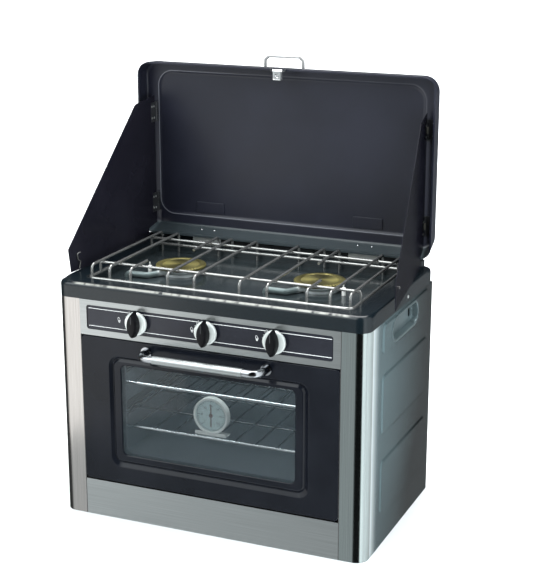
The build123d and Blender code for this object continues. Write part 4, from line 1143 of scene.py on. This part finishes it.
class STOVE_OT_stage(bpy.types.Operator):
    """Builds the pale floor, the lights and the camera"""

    bl_idname = "stove.stage"
    bl_label = "Stage"

    def lay_floor(self, studio):
        """Paper that sweeps up behind the stove and pales far out. The bright parts don't mirror it."""
        half = 7000.0
        sweep = bent([(-half, 0.0), (3600.0, 0.0), (3600.0, 5000.0)], cut=1500.0, steps=16)
        y, z = np.tile(sweep[:, :1], (1, 2)), np.tile(sweep[:, 1:], (1, 2))
        grid = np.stack([np.tile([-half, half], (len(sweep), 1)), y, z], -1)
        floor = surface("studio_floor", [{"grid": grid, "flip": True}], closed=False)
        paint = Finish("studio_paper", Base_Color=tuple(studio.floor), Roughness=0.9, Emission_Strength=1.0)
        x, y = paint.axis("X"), paint.axis("Y")
        far = ((x * x + y * y) ** 0.5).ramp(1.6, 3.4)
        paint.set("Emission Color", paint.blend(far, (0.0, 0.0, 0.0), (0.35, 0.33, 0.32)))
        floor.data.materials.append(paint.material)
        floor.visible_glossy = False

    def light_room(self, scene, studio):
        """Room light by azimuth, in degrees from the front to the right, and by height. It is seen as white."""
        world = bpy.data.worlds.new("studio_air")
        world.use_nodes = True
        air = Graph(world.node_tree)
        way = air.node("ShaderNodeTexCoord", None, None, "Generated")
        across, ahead, above = [air.node("ShaderNodeSeparateXYZ", None, {0: way}, name) for name in "XYZ"]
        turn = across.angle_from(0.0 - ahead) * (180 / math.pi)
        low = (0.0 - above).ramp(0.0, 0.25)
        front = (1.0 - turn.ramp(-13.0, -8.0)) * turn.ramp(-75.0, -40.0)
        right = turn.ramp(44.0, 52.0) * (1.0 - turn.ramp(105.0, 150.0)) * (1.8 - 0.8 * turn.ramp(60.0, 100.0))
        rear = turn.ramp(110.0, 150.0) * (1.0 - turn.ramp(165.0, 178.0))
        flag = turn.ramp(-12.0, -8.0) * (1.0 - turn.ramp(40.0, 48.0))
        high = above.ramp(0.08, 0.5)
        under = (0.0 - above).ramp(0.52, 0.75)
        glow = studio.sky_back * (1.0 - 0.85 * flag)
        glow = glow + studio.sky_front * front * (1.0 - 0.45 * turn.ramp(-34.0, -18.0)) * (1.0 + 4.6 * high)
        glow = glow + studio.sky_right * right + studio.sky_rear * rear * low + 0.6 * under
        seen = air.node("ShaderNodeLightPath", None, None, "Is Camera Ray")
        glow = glow * (1.0 - seen) + 1.1 * seen
        background = world.node_tree.nodes["Background"]
        background.inputs["Color"].default_value = (0.92, 0.98, 1.0, 1.0)
        world.node_tree.links.new(glow.socket, background.inputs["Strength"])
        scene.world = world

    def hang_lamps(self, scene):
        """Soft panels: name, place, aim, size, watts, colour, and whether reflections show them."""
        lamps = (
            ("left_card", (-0.78, -0.74, 0.08), (-0.1, -0.16, 0.2), (0.85, 0.5), 1.5, (1.0, 0.985, 0.96), True),
            ("side_light", (0.70, -0.62, 0.62), (0.26, -0.05, 0.25), (0.3, 0.3), 3.6, (0.86, 0.96, 1.0), False),
            ("front_light", (-0.4, -2.4, 2.2), (0, 0, 0.3), (1.6, 1.6), 18.0, (0.97, 0.98, 1.0), False),
            ("oven_light", (0.0, -0.135, 0.295), (0.0, 0.02, 0.16), (0.36, 0.02), 0.7, (0.92, 1.0, 1.0), True),
            ("top_light", (-0.2, 0.9, 2.9), (0, 0.45, 0.0), (2.4, 2.4), 120.0, (1.0, 1.0, 1.0), True),
            ("back_light", (0.0, 2.2, 2.6), (0, 3.4, 0.6), (2.4, 2.4), 60.0, (1.0, 1.0, 1.0), False),
        )
        for name, spot, aim, size, power, colour, mirrored in lamps:
            light = bpy.data.lights.new(name, "AREA")
            light.shape = "RECTANGLE"
            light.size, light.size_y = size
            light.energy = power
            light.color = colour
            lamp = bpy.data.objects.new(name, light)
            lamp.visible_camera = False
            lamp.visible_glossy = mirrored
            scene.collection.objects.link(lamp)
            x, y, z = np.array(aim) - np.array(spot)
            lamp.location = spot
            lamp.rotation_euler = (math.atan2(math.hypot(x, y), -z), 0, math.atan2(y, x) - math.pi / 2)

    def place_camera(self, scene, studio):
        """Camera at the photograph's viewing angle."""
        camera_data = bpy.data.cameras.new("studio_camera")
        camera_data.lens = studio.lens
        camera_data.clip_end = 50.0
        camera = bpy.data.objects.new("studio_camera", camera_data)
        scene.collection.objects.link(camera)
        camera.location = studio.stand
        camera.rotation_euler = (math.pi / 2 - studio.pitch, 0, studio.yaw)
        scene.camera = camera

    def execute(self, context):
        scene, studio = context.scene, context.scene.stove_studio
        self.lay_floor(studio)
        self.light_room(scene, studio)
        self.hang_lamps(scene)
        self.place_camera(scene, studio)
        scene.view_settings.view_transform = "Standard"
        return {"FINISHED"}


STEPS = (
    STOVE_OT_finishes, STOVE_OT_lid, STOVE_OT_sides, STOVE_OT_rim, STOVE_OT_door, STOVE_OT_knobs,
    STOVE_OT_caps, STOVE_OT_thermometer, STOVE_OT_controls, STOVE_OT_screens, STOVE_OT_fasteners,
    STOVE_OT_latch, STOVE_OT_stage,
)


class STOVE_PT_sidebar(bpy.types.Panel):
    """Lists the steps that dress the stove, and its settings"""

    bl_idname = "STOVE_PT_sidebar"
    bl_label = "Stove"
    bl_space_type = "VIEW_3D"
    bl_region_type = "UI"
    bl_category = "Stove"

    def draw(self, context):
        for step in STEPS:
            self.layout.operator(step.bl_idname)
        scene = context.scene
        for group, kind in ((scene.stove_look, StoveSettings), (scene.stove_studio, StudioSettings)):
            for setting in kind.__annotations__:
                self.layout.prop(group, setting)


CLASSES = (StoveSettings, StudioSettings, *STEPS, STOVE_PT_sidebar)


def register():
    """Registers the classes and hangs the settings on the scene."""
    for item in CLASSES:
        bpy.utils.register_class(item)
    bpy.types.Scene.stove_look = bpy.props.PointerProperty(type=StoveSettings)
    bpy.types.Scene.stove_studio = bpy.props.PointerProperty(type=StudioSettings)


def unregister():
    """Undoes register."""
    del bpy.types.Scene.stove_look
    del bpy.types.Scene.stove_studio
    for item in reversed(CLASSES):
        bpy.utils.unregister_class(item)


def main():
    """Runs every step in order."""
    register()
    for step in STEPS:
        getattr(bpy.ops.stove, step.bl_idname.split(".")[1])()


if __name__ == "__main__":
    main()
